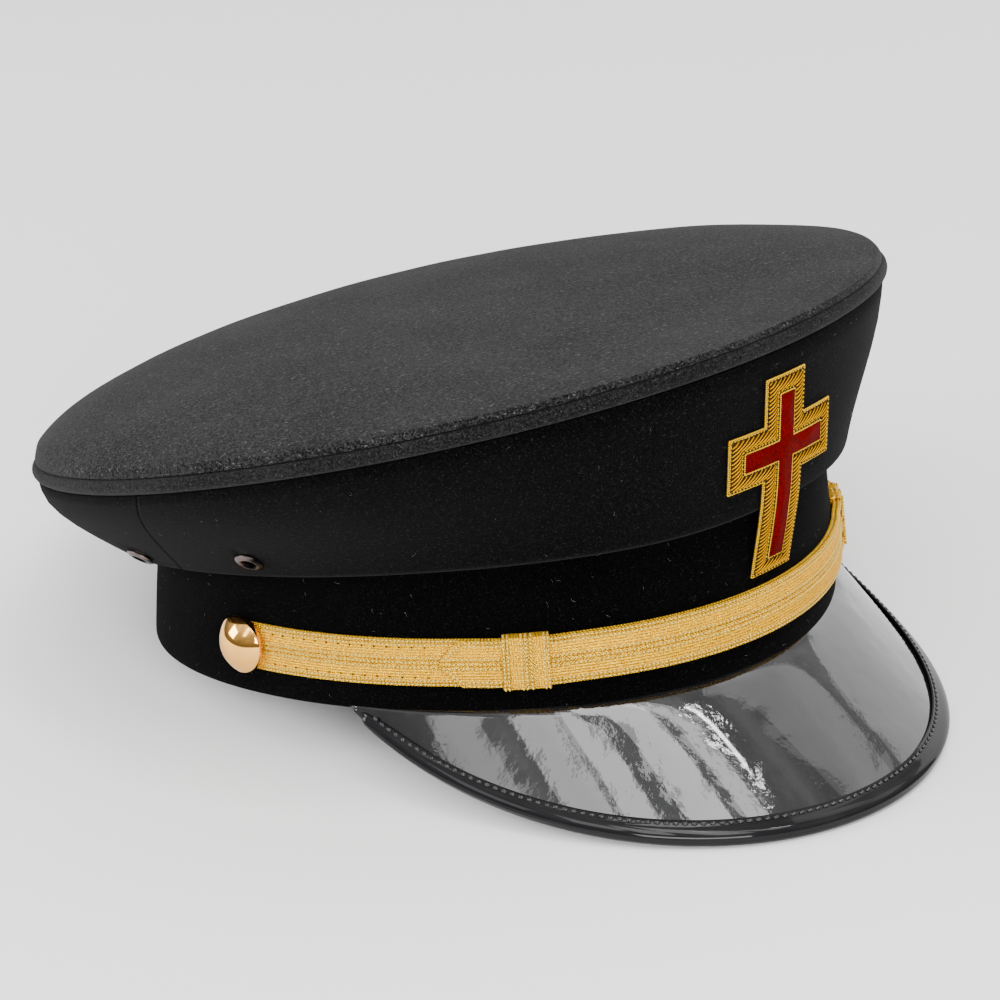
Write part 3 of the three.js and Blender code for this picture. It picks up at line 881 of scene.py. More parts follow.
@dataclass(frozen=True)
class LaceFinish:
    """Gold lace woven of flat metal thread; its colour is painted darker between the threads and
    brighter on their tops, as shade and highlight.
    """

    name: str = "gold_lace"
    deep: tuple = (0.22, 0.07, 0.0, 1)
    mid: tuple = (0.74, 0.33, 0.0, 1)
    bright: tuple = (1.0, 0.64, 0.03, 1)
    relief: float = 0.0004

    def make(self, lace: Effect) -> bpy.types.Material:
        """Makes the material.

        Args:
            lace: the group for the weave.

        Returns:
            The new material.
        """
        material, shade, shader, vector = start_material(self.name, Coordinates.UV)
        weave = lace.use(shade, vector)
        # Deep is painted shade between the threads, bright a painted highlight on their tops.
        colour = shade.mix(shade.step(weave["Tone"], 0.18, 0.5), self.deep, self.mid)
        colour = shade.mix(shade.step(weave["Tone"], 0.5, 0.85), colour, self.bright)
        shade.feed(shader.inputs["Base Color"], colour)
        shade.feed(shader.inputs["Normal"], shade.bump(weave["Height"], self.relief))
        rough = shade.math("MULTIPLY_ADD", weave["Tone"], -0.15, 0.5)
        shade.feed(shader.inputs["Roughness"], rough)
        shader.inputs["Metallic"].default_value = 0.6
        shader.inputs["Specular IOR Level"].default_value = 0.15
        shader.inputs["Specular Tint"].default_value = GOLD_EDGE
        return material


@dataclass(frozen=True)
class MetalFinish:
    """A metal face with slight handling marks, and, if asked, painted shade down a hole."""

    name: str
    deep: tuple
    bright: tuple
    roughness: float
    uneven: float
    metallic: float = 1.0
    relief: float = 0.00001
    painted_hole_shade: bool = False

    def make(self, wear: Effect) -> bpy.types.Material:
        """Makes the material.

        Args:
            wear: the group for handling marks.

        Returns:
            The new material.
        """
        material, shade, shader, vector = start_material(self.name)
        marks = wear.use(shade, vector, Size=260.0)
        colour = shade.mix(marks["Blotch"], self.deep, self.bright)
        if self.painted_hole_shade:
            # Painted shade: near black in the deeper half of an eyelet.
            facing = shade.node("Attribute", attribute_name=FACING).outputs["Fac"]
            colour = shade.mix(shade.step(facing, 0.5, 0.85), (0.002, 0.002, 0.002, 1), colour)
        shade.feed(shader.inputs["Base Color"], colour)
        rough = shade.math("MULTIPLY_ADD", marks["Blotch"], self.uneven, self.roughness)
        rough = shade.math("MULTIPLY_ADD", marks["Scratch"], self.uneven, rough)
        shade.feed(shader.inputs["Roughness"], rough)
        shade.feed(shader.inputs["Normal"], shade.bump(marks["Blotch"], self.relief))
        shader.inputs["Metallic"].default_value = self.metallic
        return material


@dataclass(frozen=True)
class ThreadFinish:
    """Fine metal or silk thread, painted darker in the troughs of its twist as shade, and
    optionally shaded on the sides that face away from the cloth.
    """

    name: str
    deep: tuple
    bright: tuple
    turns: float
    metallic: float
    roughness: float
    relief: float = 0.00006
    painted_groove_shade: float = 0.0
    specular: float = 0.5

    def make(self) -> bpy.types.Material:
        """Makes the material.

        Returns:
            The new material.
        """
        material, shade, shader, vector = start_material(self.name)
        inputs = {"Vector": vector, "Scale": self.turns, "Distortion": 0.6, "Detail": 1.0}
        twist = shade.node("TexWave", inputs, bands_direction="Z").outputs["Fac"]
        patchy = shade.noise(vector, 380.0, 2.0)
        # The tone follows the twist, so the colour is painted shade in its troughs, plus random
        # patches.
        tone = shade.math("MULTIPLY_ADD", twist, 0.55, shade.math("MULTIPLY", patchy, 0.55))
        colour = shade.mix(shade.step(tone, 0.2, 0.8), self.deep, self.bright)
        # Painted shade: the colour sinks toward a darker copy of deep on the sides of a thread or
        # bead that face away from the cloth.
        if self.painted_groove_shade:
            facing = shade.node("Attribute", attribute_name=FACING).outputs["Fac"]
            low = shade.math("SUBTRACT", 1.0, shade.step(facing, 0.55, 0.96))
            shadow = tuple(channel * 0.12 for channel in self.deep[:3]) + (1,)
            colour = shade.mix(shade.math("MULTIPLY", low, self.painted_groove_shade), colour, shadow)
        shade.feed(shader.inputs["Base Color"], colour)
        shade.feed(shader.inputs["Normal"], shade.bump(twist, self.relief))
        shader.inputs["Roughness"].default_value = self.roughness
        shader.inputs["Metallic"].default_value = self.metallic
        shader.inputs["Specular IOR Level"].default_value = self.specular
        if self.metallic:
            shader.inputs["Specular Tint"].default_value = GOLD_EDGE
        return material


@dataclass(frozen=True)
class VelvetFinish:
    """Deep red velvet with a short pile."""

    name: str = "red_velvet"
    deep: tuple = (0.035, 0.0, 0.0, 1)
    bright: tuple = (0.14, 0.0, 0.0, 1)

    def make(self, nap: Effect) -> bpy.types.Material:
        """Makes the material.

        Args:
            nap: the group for the pile.

        Returns:
            The new material.
        """
        material, shade, shader, vector = start_material(self.name)
        pile = nap.use(shade, vector, Grain=2600.0)
        colour = shade.mix(shade.step(pile["Tone"], 0.35, 0.68), self.deep, self.bright)
        shade.feed(shader.inputs["Base Color"], colour)
        shade.feed(shader.inputs["Normal"], shade.bump(pile["Tone"], 0.00018, 0.7))
        shader.inputs["Roughness"].default_value = 0.85
        shader.inputs["Specular IOR Level"].default_value = 0.04
        shader.inputs["Sheen Weight"].default_value = 0.02
        shader.inputs["Sheen Roughness"].default_value = 0.35
        shader.inputs["Sheen Tint"].default_value = (1.0, 0.1, 0.1, 1)
        return material


class Finishes:
    """All the finishes of the cap, built once."""

    def __init__(self) -> None:
        """Builds the shared effects and then the materials."""
        nap, wear, lace = nap_effect(), wear_effect(), lace_effect()
        self.wool = WoolFinish().make(nap)
        # Same wool made darker for the piping, the side and the band: painted shade where less
        # light falls.
        self.shaded_piping_wool = WoolFinish(
            name="shaded_piping_wool", grain=2600.0, nap=(0.0105, 0.0105, 0.011, 1),
            fibre=(0.04, 0.04, 0.04, 1), tones=(0.43, 0.58)).make(nap)
        self.shaded_side_wool = WoolFinish(
            name="shaded_side_wool", deep=(0.0003, 0.0003, 0.0003, 1), nap=(0.0019, 0.0019, 0.002, 1),
            fibre=(0.011, 0.011, 0.011, 1), tones=(0.44, 0.57), sheen=0.022, specular=0.02,
            seams=True).make(nap)
        self.shaded_band_wool = WoolFinish(
            name="shaded_band_wool", deep=(0.0002, 0.0002, 0.0002, 1), nap=(0.001, 0.001, 0.0011, 1),
            fibre=(0.006, 0.006, 0.006, 1), tones=(0.44, 0.57), sheen=0.012, specular=0.015
            ).make(nap)
        self.patent = PatentFinish().make(wear)
        self.binding = PatentFinish("black_binding", waves=110.0, wave_height=0.00004,
                                    ripple=0.00001, pores=0.000006, specular=0.12, coat=0.08
                                    ).make(wear)
        self.lace = LaceFinish().make(lace)
        self.gilt = MetalFinish(
            "gilt", (0.95, 0.46, 0.09, 1), (1.0, 0.55, 0.14, 1), 0.05, 0.05).make(wear)
        self.gunmetal = MetalFinish(
            "gunmetal", (0.06, 0.048, 0.045, 1), (0.19, 0.15, 0.14, 1), 0.26, 0.15, painted_hole_shade=True
            ).make(wear)
        # Purl, lace stitches and bullion paint shade on the sides of their threads and beads;
        # bullion most strongly.
        self.purl = ThreadFinish(
            "gold_purl", (0.85, 0.42, 0.0, 1), (1.0, 0.66, 0.03, 1), 900.0, 0.4, 0.34,
            painted_groove_shade=0.25).make()
        self.lace_stitch = ThreadFinish(
            "gold_lace_stitch", (1.0, 0.62, 0.05, 1), (1.0, 0.76, 0.20, 1), 700.0, 0.1, 0.34,
            painted_groove_shade=0.6).make()
        self.bullion = ThreadFinish(
            "gold_bullion", (0.80, 0.31, 0.0, 1), (1.0, 0.56, 0.0, 1), 1400.0, 0.75, 0.27,
            relief=0.00003, painted_groove_shade=1.0).make()
        # Near-black padding: painted shade in the gaps between the bullion strands; the needle
        # marks use it too.
        self.padding = ThreadFinish(
            "shade_dark_padding", (0.025, 0.007, 0.0, 1), (0.09, 0.028, 0.0, 1), 900.0, 0.3, 0.6).make()
        self.fluff = ThreadFinish(
            "pale_fluff", (0.03, 0.03, 0.03, 1), (0.16, 0.16, 0.16, 1), 500.0, 0.0, 0.8).make()
        self.sewing = ThreadFinish(
            "black_thread", (0.004, 0.004, 0.004, 1), (0.02, 0.02, 0.02, 1), 1600.0, 0.0, 0.5,
            specular=0.08).make()
        self.varnished_thread = ThreadFinish(
            "varnished_thread", (0.006, 0.006, 0.006, 1), (0.04, 0.04, 0.04, 1), 1600.0, 0.0, 0.14
        ).make()
        self.velvet = VelvetFinish().make(nap)


# Crown and band

def cloth_piece(name: str, node: str, material: bpy.types.Material, levels: int
                ) -> bpy.types.Object:
    """Makes a rounded wool piece whose hard edges keep a small radius.

    Args:
        name: the name of the piece.
        node: the CAD node that it replaces.
        material: its finish.
        levels: how finely it is divided.

    Returns:
        The new object, without modifiers.
    """
    bm = merged_copy(node)
    crease_sharp(bm, CLOTH_SHARP, CLOTH_CREASE)
    piece = make_piece(name, bm, material, [node])
    round_off(piece, levels)
    apply_modifiers(piece)
    return piece


@dataclass
class Crown:
    """The soft crown: its top, the piping around its edge, and its flaring side."""

    centre_back: float = 0.0065
    piping_height: Around = Around(0.0865, 0.0674, 0.0442)
    seam_angle: float = 89.0
    seam_swing: float = 12.0
    seam_bend: float = 1.3
    wander: float = 0.0004
    spacing: float = 0.045
    top_fibres: int = 120
    side_fibres: int = 220

    def build(self, finishes: Finishes) -> None:
        """Builds and dresses the pieces of the crown.

        Args:
            finishes: the finishes of the cap.
        """
        top = cloth_piece("crown_top_cloth", "crown_top", finishes.wool, 2)
        soften(top, self.wander, self.spacing)
        piping = cloth_piece("piping_cloth", "crown_piping", finishes.shaded_piping_wool, 1)
        soften(piping, self.wander / 2, self.spacing)
        side = cloth_piece("crown_side_cloth", "crown_side", finishes.shaded_side_wool, 1)
        self.mark_seams(side)
        soften(side, self.wander, self.spacing)
        chance = random.Random(SEED)
        lint("crown_top_lint", top, self.top_fibres, finishes.fluff, chance)
        lint("crown_side_lint", side, self.side_fibres, finishes.fluff, chance)

    def mark_seams(self, side: bpy.types.Object) -> None:
        """Stores each point's distance to the nearest upright seam of the side.

        Args:
            side: the side piece, without modifiers.
        """
        seam = side.data.attributes.new("seam", "FLOAT", "POINT")
        for vertex, entry in zip(side.data.vertices, seam.data):
            own = REST.own(vertex.co)
            angle = math.degrees(math.atan2(abs(own.x), self.centre_back - own.y))
            low = BAND.height.at(angle)
            share = (own.z - low) / (self.piping_height.at(angle) - low)
            seam_at = self.seam_angle + self.seam_swing * max(0.0, 1 - share) ** self.seam_bend
            radius = math.hypot(own.x, own.y - self.centre_back)
            entry.value = math.radians(angle - seam_at) * radius


@dataclass
class BandCloth:
    """The stiff band, covered in the same wool."""

    wander: float = 0.0002
    spacing: float = 0.03
    fibres: int = 500

    def build(self, finishes: Finishes) -> None:
        """Builds and dresses the band.

        Args:
            finishes: the finishes of the cap.
        """
        band = cloth_piece("band_cloth", "band", finishes.shaded_band_wool, 2)
        soften(band, self.wander, self.spacing)
        lint("band_lint", band, self.fibres, finishes.fluff, random.Random(SEED))


# Visor

@dataclass
class Visor:
    """The varnished visor with its folded binding and the stitches that hold it."""

    half_angle: float = 72.0
    reach: float = 0.0508
    power: float = 0.865
    slope: float = 43.0
    slope_more: float = 23.0
    forward: float = 0.43
    gap: float = 0.0003
    fold: float = 0.007
    fold_share: float = 0.8
    wall: float = 0.0007
    stitched_share: float = 0.93
    stitch_pitch: float = 0.002375
    stitch_size: tuple = (0.0019, 0.0011, 0.0006)
    stitch_from_edge: float = 0.001
    stitch_above: float = 0.0001
    swell_from: float = 0.0018
    swell_to: float = 0.0008
    swell_height: float = 0.0007
    halvings: int = 16

    def reach_at(self, angle: float) -> float:
        """Length of the visor along its slope."""
        return self.reach * (1 - (angle / self.half_angle) ** 2) ** self.power

    def fold_at(self, angle: float) -> float:
        """Width of the binding on the upper face, narrower where the visor is short."""
        return min(self.fold, self.reach_at(angle) * self.fold_share)

    def direction(self, angle: float) -> Vector:
        """Own direction of the slope.

        Args:
            angle: degrees around the cap.

        Returns:
            A direction of length 1.
        """
        level = BAND.outward(angle) * (1 - self.forward) + Vector((0, -self.forward, 0))
        slope = math.radians(self.slope + self.slope_more * (angle / self.half_angle) ** 2)
        return level.normalized() * math.cos(slope) - Vector((0, 0, math.sin(slope)))

    def point(self, angle: float, reach: float) -> Vector:
        """Own place on the upper face, by the distance from the band."""
        root = BAND.point(angle, 0) - Vector((0, 0, self.gap))
        return root + self.direction(angle) * reach

    def normal(self, angle: float) -> Vector:
        """Own direction square to the upper face.

        Args:
            angle: degrees around the cap.

        Returns:
            A direction of length 1 that points up.
        """
        half = self.reach_at(angle) / 2
        side = self.point(angle + 1, half) - self.point(angle - 1, half)
        normal = self.direction(angle).cross(side).normalized()
        return normal if normal.z > 0 else -normal

    def stitches(self) -> list[Bead]:
        """Stitches along the inner edge of the binding.

        Returns:
            The places of the stitches.
        """
        places = []
        angle = -self.half_angle * self.stitched_share
        while angle < self.half_angle * self.stitched_share:
            here, following = (
                self.point(at, self.reach_at(at) - self.fold_at(at) + self.stitch_from_edge)
                for at in (angle, angle + 1))
            normal = self.normal(angle)
            lift = normal * (self.gap + self.wall + self.stitch_above)
            travel = following - here
            places.append(Bead(here + lift, travel, normal, *self.stitch_size))
            angle += self.stitch_pitch / travel.length
        return places

    def angle_of(self, own: Vector) -> float:
        """Angle of the line down the slope that an own place lies on.

        Args:
            own: a place on the upright cap.

        Returns:
            The angle at the root of that line.
        """
        low, high = -self.half_angle, self.half_angle
        for _ in range(self.halvings):
            middle = (low + high) / 2
            away, down = own - BAND.point(middle, 0), self.direction(middle)
            if down.x * away.y - down.y * away.x > 0:
                low = middle
            else:
                high = middle
        return (low + high) / 2

    def swell(self, binding: bpy.types.Object) -> None:
        """Domes the upper face of the binding between its stitches and its outer edge.

        Args:
            binding: the binding, without modifiers.
        """
        for vertex in binding.data.vertices:
            own = REST.own(vertex.co)
            angle = self.angle_of(own)
            reach, normal = self.reach_at(angle), self.normal(angle)
            away = own - self.point(angle, reach)
            width = self.fold_at(angle)
            share = away.dot(self.direction(angle)) + width - self.swell_from
            share /= max(width + self.swell_to - self.swell_from, MM)
            if away.dot(normal) > self.gap and 0 < share < 1:
                lift = min(1.0, reach / self.fold / 2) * math.sin(math.pi * share)
                vertex.co = REST.place(own + normal * (self.swell_height * lift))

    def build(self, finishes: Finishes) -> None:
        """Builds and dresses the visor, its binding and its stitches.

        Args:
            finishes: the finishes of the cap.
        """
        bm = merged_copy("visor")
        crease_sharp(bm, 50, 0.8)
        leather = make_piece("visor_leather", bm, finishes.patent, ["visor"])
        round_off(leather, 2, 0)
        bm = merged_copy("visor_rim")
        crease_sharp(bm, 60, 0.5)
        binding = make_piece("visor_binding", bm, finishes.binding, ["visor_rim"])
        round_off(binding, 2, 0)
        apply_modifiers(binding)
        self.swell(binding)
        beads("visor_stitches", self.stitches(), finishes.varnished_thread)


# Strap, keepers and buttons

def smooth_step(low: float, high: float, value: float) -> float:
    """Smooth step from 0 at low to 1 at high.

    Args:
        low: where the step begins.
        high: where it ends.
        value: what is compared.

    Returns:
        The value of the step.
    """
    share = min(1.0, max(0.0, (value - low) / (high - low)))
    return share * share * (3 - 2 * share)


@dataclass(frozen=True)
class StrapFit:
    """How the straps and the keepers lie on each other."""

    gap: float = 0.0003
    thickness: float = 0.0008
    keeper_right: float = 43.3
    keeper_left: float = 41.0
    keeper_width: float = 0.012
    keeper_lean: float = 3.4
    keeper_edge: float = 0.0004
    sleeve: float = 0.0003
    keeper_back: float = 0.0004
    keeper_front: float = 0.0006
    keeper_ramp: float = 5.0
    ramp_from: float = 58.0
    ramp_to: float = 65.0

    def keeper_half(self) -> float:
        """Half of the keeper width as an angle."""
        start = BAND.point(self.keeper_right, STRAP_LOW)
        return self.keeper_width / 2 / (BAND.point(self.keeper_right + 1, STRAP_LOW) - start).length

    def lower(self, angle: float) -> float:
        """Distance from the band to the back of the lower strap.

        Args:
            angle: degrees around the cap.

        Returns:
            The distance.
        """
        keeper = self.keeper_right if angle < 0 else self.keeper_left
        away = abs(abs(angle) - keeper)
        inside = self.keeper_half()
        raised = 1 - smooth_step(inside + 0.6, inside + self.keeper_ramp, away)
        return self.gap + raised * (self.keeper_back + self.gap)

    def upper(self, angle: float) -> float:
        """Distance from the band to the back of the upper strap.

        Args:
            angle: degrees around the cap.

        Returns:
            The distance.
        """
        step = (self.thickness + self.gap) * (1 - smooth_step(self.ramp_from, self.ramp_to, angle))
        return self.lower(angle) + step

    def keeper_face(self) -> float:
        """Distance from the band to the front of a keeper."""
        return self.keeper_back + 4 * self.gap + 2 * self.thickness + self.keeper_front


FIT = StrapFit()


@dataclass
class LaceRows:
    """Raised rows of stitches on lace: corded edges and a middle of slanting stitches."""

    pitch: float = 0.00115
    edge_rows: tuple = (0.04, 0.12, 0.88, 0.96)
    middle_rows: tuple = (0.40, 0.5, 0.60)
    size: tuple = (0.001265, 0.00064, 0.0006)
    slant: float = 42.0
    edge_slant: float = 12.0

    def stitch(self, here: Vector, ahead: Vector, normal: Vector, turn: float) -> Bead:
        """One stitch, turned by an angle on the face of the lace.

        Args:
            here: its own place.
            ahead: the next place along the row.
            normal: the own direction away from the lace.
            turn: the angle, in degrees.

        Returns:
            The stitch.
        """
        along = Matrix.Rotation(math.radians(turn), 3, normal) @ (ahead - here)
        return Bead(here, along, normal, *self.size)

    def turn_of(self, row: float, index: int) -> float:
        """Slant of a stitch in a row.

        Args:
            row: the row, as a share of the width.
            index: the number of the stitch in it.

        Returns:
            The slant, in degrees.
        """
        if row in self.middle_rows:
            return self.slant if self.middle_rows.index(row) % 2 == 0 else -self.slant
        return self.edge_slant if index % 2 == 0 else -self.edge_slant


@dataclass
class LaceStrap:
    """A strap of gold lace, with its raised rows and the needle marks near its button."""

    side: str
    sign: int
    lift: Callable[[float], float]
    button_angle: float = 85.0
    shoulder: float = 53.0
    edges_end: float = 52.4
    tip: float = 56.0
    middle_ends: float = 54.6
    tip_width: float = 0.0016
    tip_rows: tuple = (0.07, 0.93)
    tip_from: float = 52.5
    tip_stitch_count: int = 7
    tip_slant: float = 10.0
    sewn_to: float = 58.0
    needle_pitch: float = 0.0035
    needle_rows: tuple = (0.18, 0.82)
    needle_size: tuple = (0.0008, 0.0006, 0.0003)
    rows: LaceRows = field(default_factory=LaceRows)

    def place(self, angle: float, row: float, proud: float = 0.0) -> Vector:
        """Own place on the face of the strap.

        Args:
            angle: degrees around the cap.
            row: share of the width, from the lower edge.
            proud: distance above the face.

        Returns:
            The place on the upright cap.
        """
        return BAND.point(angle, STRAP_LOW + row * STRAP_WIDTH,
                          self.lift(angle) + FIT.thickness + proud)

    def stations(self, first: float, last: float, pitch: float) -> Iterator[float]:
        """Angles a pitch apart along the strap.

        Args:
            first: the angle to start from.
            last: the angle to stay below.
            pitch: distance from one to the next.

        Returns:
            The angles, in degrees.
        """
        angle = first
        while angle < last:
            yield angle
            angle += pitch / (BAND.point(angle + 1, STRAP_MIDDLE) -
                              BAND.point(angle, STRAP_MIDDLE)).length

    def stitches(self) -> list[Bead]:
        """Stitches of the raised rows, and around the pointed end.

        Returns:
            The places of the stitches.
        """
        places = []
        for row in self.rows.edge_rows + self.rows.middle_rows:
            last = self.middle_ends if row in self.rows.middle_rows else self.edges_end
            for i, away in enumerate(self.stations(-self.button_angle, last, self.rows.pitch)):
                angle = self.sign * away
                here, ahead = self.place(angle, row), self.place(angle + AHEAD, row)
                places.append(self.rows.stitch(here, ahead, BAND.normal(angle),
                                               self.rows.turn_of(row, i)))
        return places + self.tip_stitches()

    def tip_stitches(self) -> list[Bead]:
        """Stitches along the two slopes of the pointed end.

        Returns:
            The places of the stitches.
        """
        places = []
        narrow = self.tip_width / STRAP_WIDTH / 2
        for start in self.tip_rows:
            end = 0.5 + math.copysign(narrow, start - 0.5)
            turn, rise = self.sign * (self.tip - self.shoulder), end - start
            for i in range(self.tip_stitch_count):
                share = (i + 0.5) / self.tip_stitch_count
                angle, row = self.sign * self.tip_from + turn * share, start + rise * share
                here = self.place(angle, row)
                ahead = self.place(angle + turn * AHEAD, row + rise * AHEAD)
                places.append(self.rows.stitch(here, ahead, BAND.normal(angle), self.tip_slant))
        return places

    def needle_marks(self) -> list[Bead]:
        """Small dark marks where the end of the strap is sewn down beside the button.

        Returns:
            The places of the marks.
        """
        places = []
        for row in self.needle_rows:
            for away in self.stations(self.sewn_to, self.button_angle, self.needle_pitch):
                angle = -self.sign * away
                here, ahead = self.place(angle, row), self.place(angle + AHEAD, row)
                places.append(Bead(here, ahead - here, BAND.normal(angle), *self.needle_size))
        return places

    def build(self, finishes: Finishes) -> None:
        """Builds and dresses the strap.

        Args:
            finishes: the finishes of the cap.
        """
        node = f"strap_{self.side}"
        lace_piece(node, self.stitches(), finishes)
        beads(f"needle_marks_{node}", self.needle_marks(), finishes.padding)


def map_lace(bm: bmesh.types.BMesh, middle: float = 0.0, width: float = 0.0) -> None:
    """Lays the lace pattern on a mesh around the band.

    Args:
        bm: the mesh.
        middle: the angle of the middle of a keeper.
        width: the width of a keeper, whose lace runs up and down, or 0 for a strap.
    """
    layer = bm.loops.layers.uv.new("UVMap")
    spots = {}
    for vertex in bm.verts:
        own = REST.own(vertex.co)
        angle = BAND.angle_of(own)
        height = BAND.height_of(own, angle) - STRAP_LOW
        if width:
            lean = math.tan(math.radians(FIT.keeper_lean)) * (height - STRAP_WIDTH / 2)
            offset = BAND.arc(angle, STRAP_MIDDLE) - BAND.arc(middle, STRAP_MIDDLE)
            offset += math.copysign(lean, middle)
            spots[vertex] = (height / STRAP_WIDTH, 0.5 + offset / width)
        else:
            spots[vertex] = (BAND.arc(angle, STRAP_MIDDLE) / STRAP_WIDTH, height / STRAP_WIDTH)
    for face in bm.faces:
        for loop in face.loops:
            loop[layer].uv = spots[loop.vert]


def lace_piece(node: str, stitches: list[Bead], finishes: Finishes, middle: float = 0.0,
               width: float = 0.0) -> None:
    """Makes a strap or a keeper of lace, with its raised rows.

    Args:
        node: the CAD node that it replaces.
        stitches: the stitches of its rows.
        finishes: the finishes of the cap.
        middle: the angle of the middle of a keeper.
        width: the width of a keeper, or 0 for a strap.
    """
    bm = merged_copy(node)
    map_lace(bm, middle, width)
    crease_sharp(bm, LACE_SHARP, 1.0)
    piece = make_piece(f"lace_{node}", bm, finishes.lace, [node])
    ease_edges(piece, LACE_EDGE)
    beads(f"rows_{node}", stitches, finishes.lace_stitch)


@dataclass
class Keeper:
    """A loop of lace around both straps, its rows running up and down."""

    side: str
    middle: float
    over_edge: int = 2
    rows: LaceRows = field(default_factory=LaceRows)

    def place(self, row: float, rise: float) -> Vector:
        """Own place on the front of the keeper, by its row and its height on the band.

        Args:
            row: share of the width of the keeper.
            rise: distance above the lower edge of the band.

        Returns:
            The place on the upright cap.
        """
        half = FIT.keeper_half()
        lean = math.tan(math.radians(FIT.keeper_lean)) * 2 * half / FIT.keeper_width
        angle = self.middle + (row - 0.5) * 2 * half
        angle -= math.copysign(lean, self.middle) * (rise - STRAP_MIDDLE)
        return BAND.point(angle, rise, FIT.keeper_face())

    def stitches(self) -> list[Bead]:
        """Stitches of the raised rows on the front.

        Returns:
            The places of the stitches.
        """
        places = []
        normal = BAND.normal(self.middle)
        over = FIT.keeper_edge + FIT.sleeve
        length = STRAP_WIDTH + 2 * over
        count = round(length / self.rows.pitch)
        for row in self.rows.edge_rows + self.rows.middle_rows:
            for i in range(count):
                rise = STRAP_LOW - over + length * (i + 0.5) / count
                here, ahead = self.place(row, rise), self.place(row, rise + MM)
                places.append(self.rows.stitch(here, ahead, normal, self.rows.turn_of(row, i)))
            top = self.place(row, STRAP_LOW + STRAP_WIDTH + over)
            for i in range(1, self.over_edge + 1):
                here = top - normal * (self.rows.pitch * i)
                places.append(self.rows.stitch(here, here - normal * MM, Vector((0, 0, 1)),
                                               self.rows.turn_of(row, i)))
        return places

    def build(self, finishes: Finishes) -> None:
        """Builds and dresses the keeper.

        Args:
            finishes: the finishes of the cap.
        """
        lace_piece(f"keeper_{self.side}", self.stitches(), finishes, self.middle, FIT.keeper_width)


@dataclass
class Button:
    """A plain gilt dome button with a rolled rim."""

    side: str
    rim: float = 0.0019
    rim_inset: float = 0.00035
    base: float = 0.0003
    dome_power: float = 2.15
    dome_rings: int = 14
    turns: int = 56
    merge: float = 1e-6

    def outline(self, radius: float, height: float) -> list[tuple[float, float]]:
        """Half section, as distances from the axis and from the back face.

        Args:
            radius: the radius of the rim.
            height: the height of the dome above the back face.

        Returns:
            Its points, from the middle of the back to the top.
        """
        dome = radius - self.rim_inset
        points = [(0.0, 0.0), (radius - self.base, 0.0), (radius, self.base),
                  (radius, self.rim * 0.6), (radius - self.rim_inset * 0.4, self.rim * 0.88)]
        for i in range(self.dome_rings + 1):
            out = dome * math.cos(math.pi / 2 * i / self.dome_rings)
            rise = (height - self.rim) * (1 - (out / dome) ** self.dome_power)
            points.append((out, self.rim + rise))
        return points

    def build(self, finishes: Finishes) -> None:
        """Builds and dresses the button, turned around the axis of its CAD solid.

        Args:
            finishes: the finishes of the cap.
        """
        node = f"button_{self.side}"
        solid = merged_copy(node)
        poles = sorted(solid.verts, key=lambda vertex: -len(vertex.link_edges))[:2]
        rear, top = sorted((pole.co.copy() for pole in poles), key=lambda co: abs(co.x))
        axis = (top - rear).normalized()
        radius = max((vertex.co - rear).cross(axis).length for vertex in solid.verts)
        across = axis.cross(Vector((0, 0, 1))).normalized()
        bm = bmesh.new()
        sections = []
        for i in range(self.turns):
            spoke = Matrix.Rotation(math.tau * i / self.turns, 3, axis) @ across
            sections.append([bm.verts.new(rear + spoke * out + axis * rise)
                             for out, rise in self.outline(radius, (top - rear).dot(axis))])
        for here, there in zip(sections, sections[1:] + sections[:1]):
            for corners in zip(here, here[1:], there[1:], there):
                bm.faces.new(corners)
        bmesh.ops.remove_doubles(bm, verts=bm.verts[:], dist=self.merge)
        bmesh.ops.recalc_face_normals(bm, faces=bm.faces[:])
        solid.free()
        make_piece(f"gilt_{node}", bm, finishes.gilt, [node])


@dataclass
class Eyelet:
    """A vent eyelet with its rolled flange."""

    node: str

    def mark_depth(self, bm: bmesh.types.BMesh) -> None:
        """Stores 1 on the flange and 0 at the far end of the tube, for the painted shade in the
        hole.

        Args:
            bm: the mesh of the eyelet.
        """
        middle = sum((vertex.co for vertex in bm.verts), Vector()) / len(bm.verts)
        outer = [face for face in bm.faces if face.normal.dot(middle.normalized()) > 0.5]
        outward = max(outer, key=lambda face: face.calc_area()).normal.copy()
        depths = [(vertex.co - middle).dot(outward) for vertex in bm.verts]
        low, high = min(depths), max(depths)
        layer = bm.verts.layers.float.new(FACING)
        for vertex, depth in zip(bm.verts, depths):
            vertex[layer] = (depth - low) / (high - low)

    def build(self, finishes: Finishes) -> None:
        """Builds and dresses the eyelet.

        Args:
            finishes: the finishes of the cap.
        """
        bm = merged_copy(self.node)
        crease_sharp(bm, 60, 0.4)
        self.mark_depth(bm)
        eyelet = make_piece(f"metal_{self.node}", bm, finishes.gunmetal,
                            [self.node])
        round_off(eyelet, 2)


# Cross

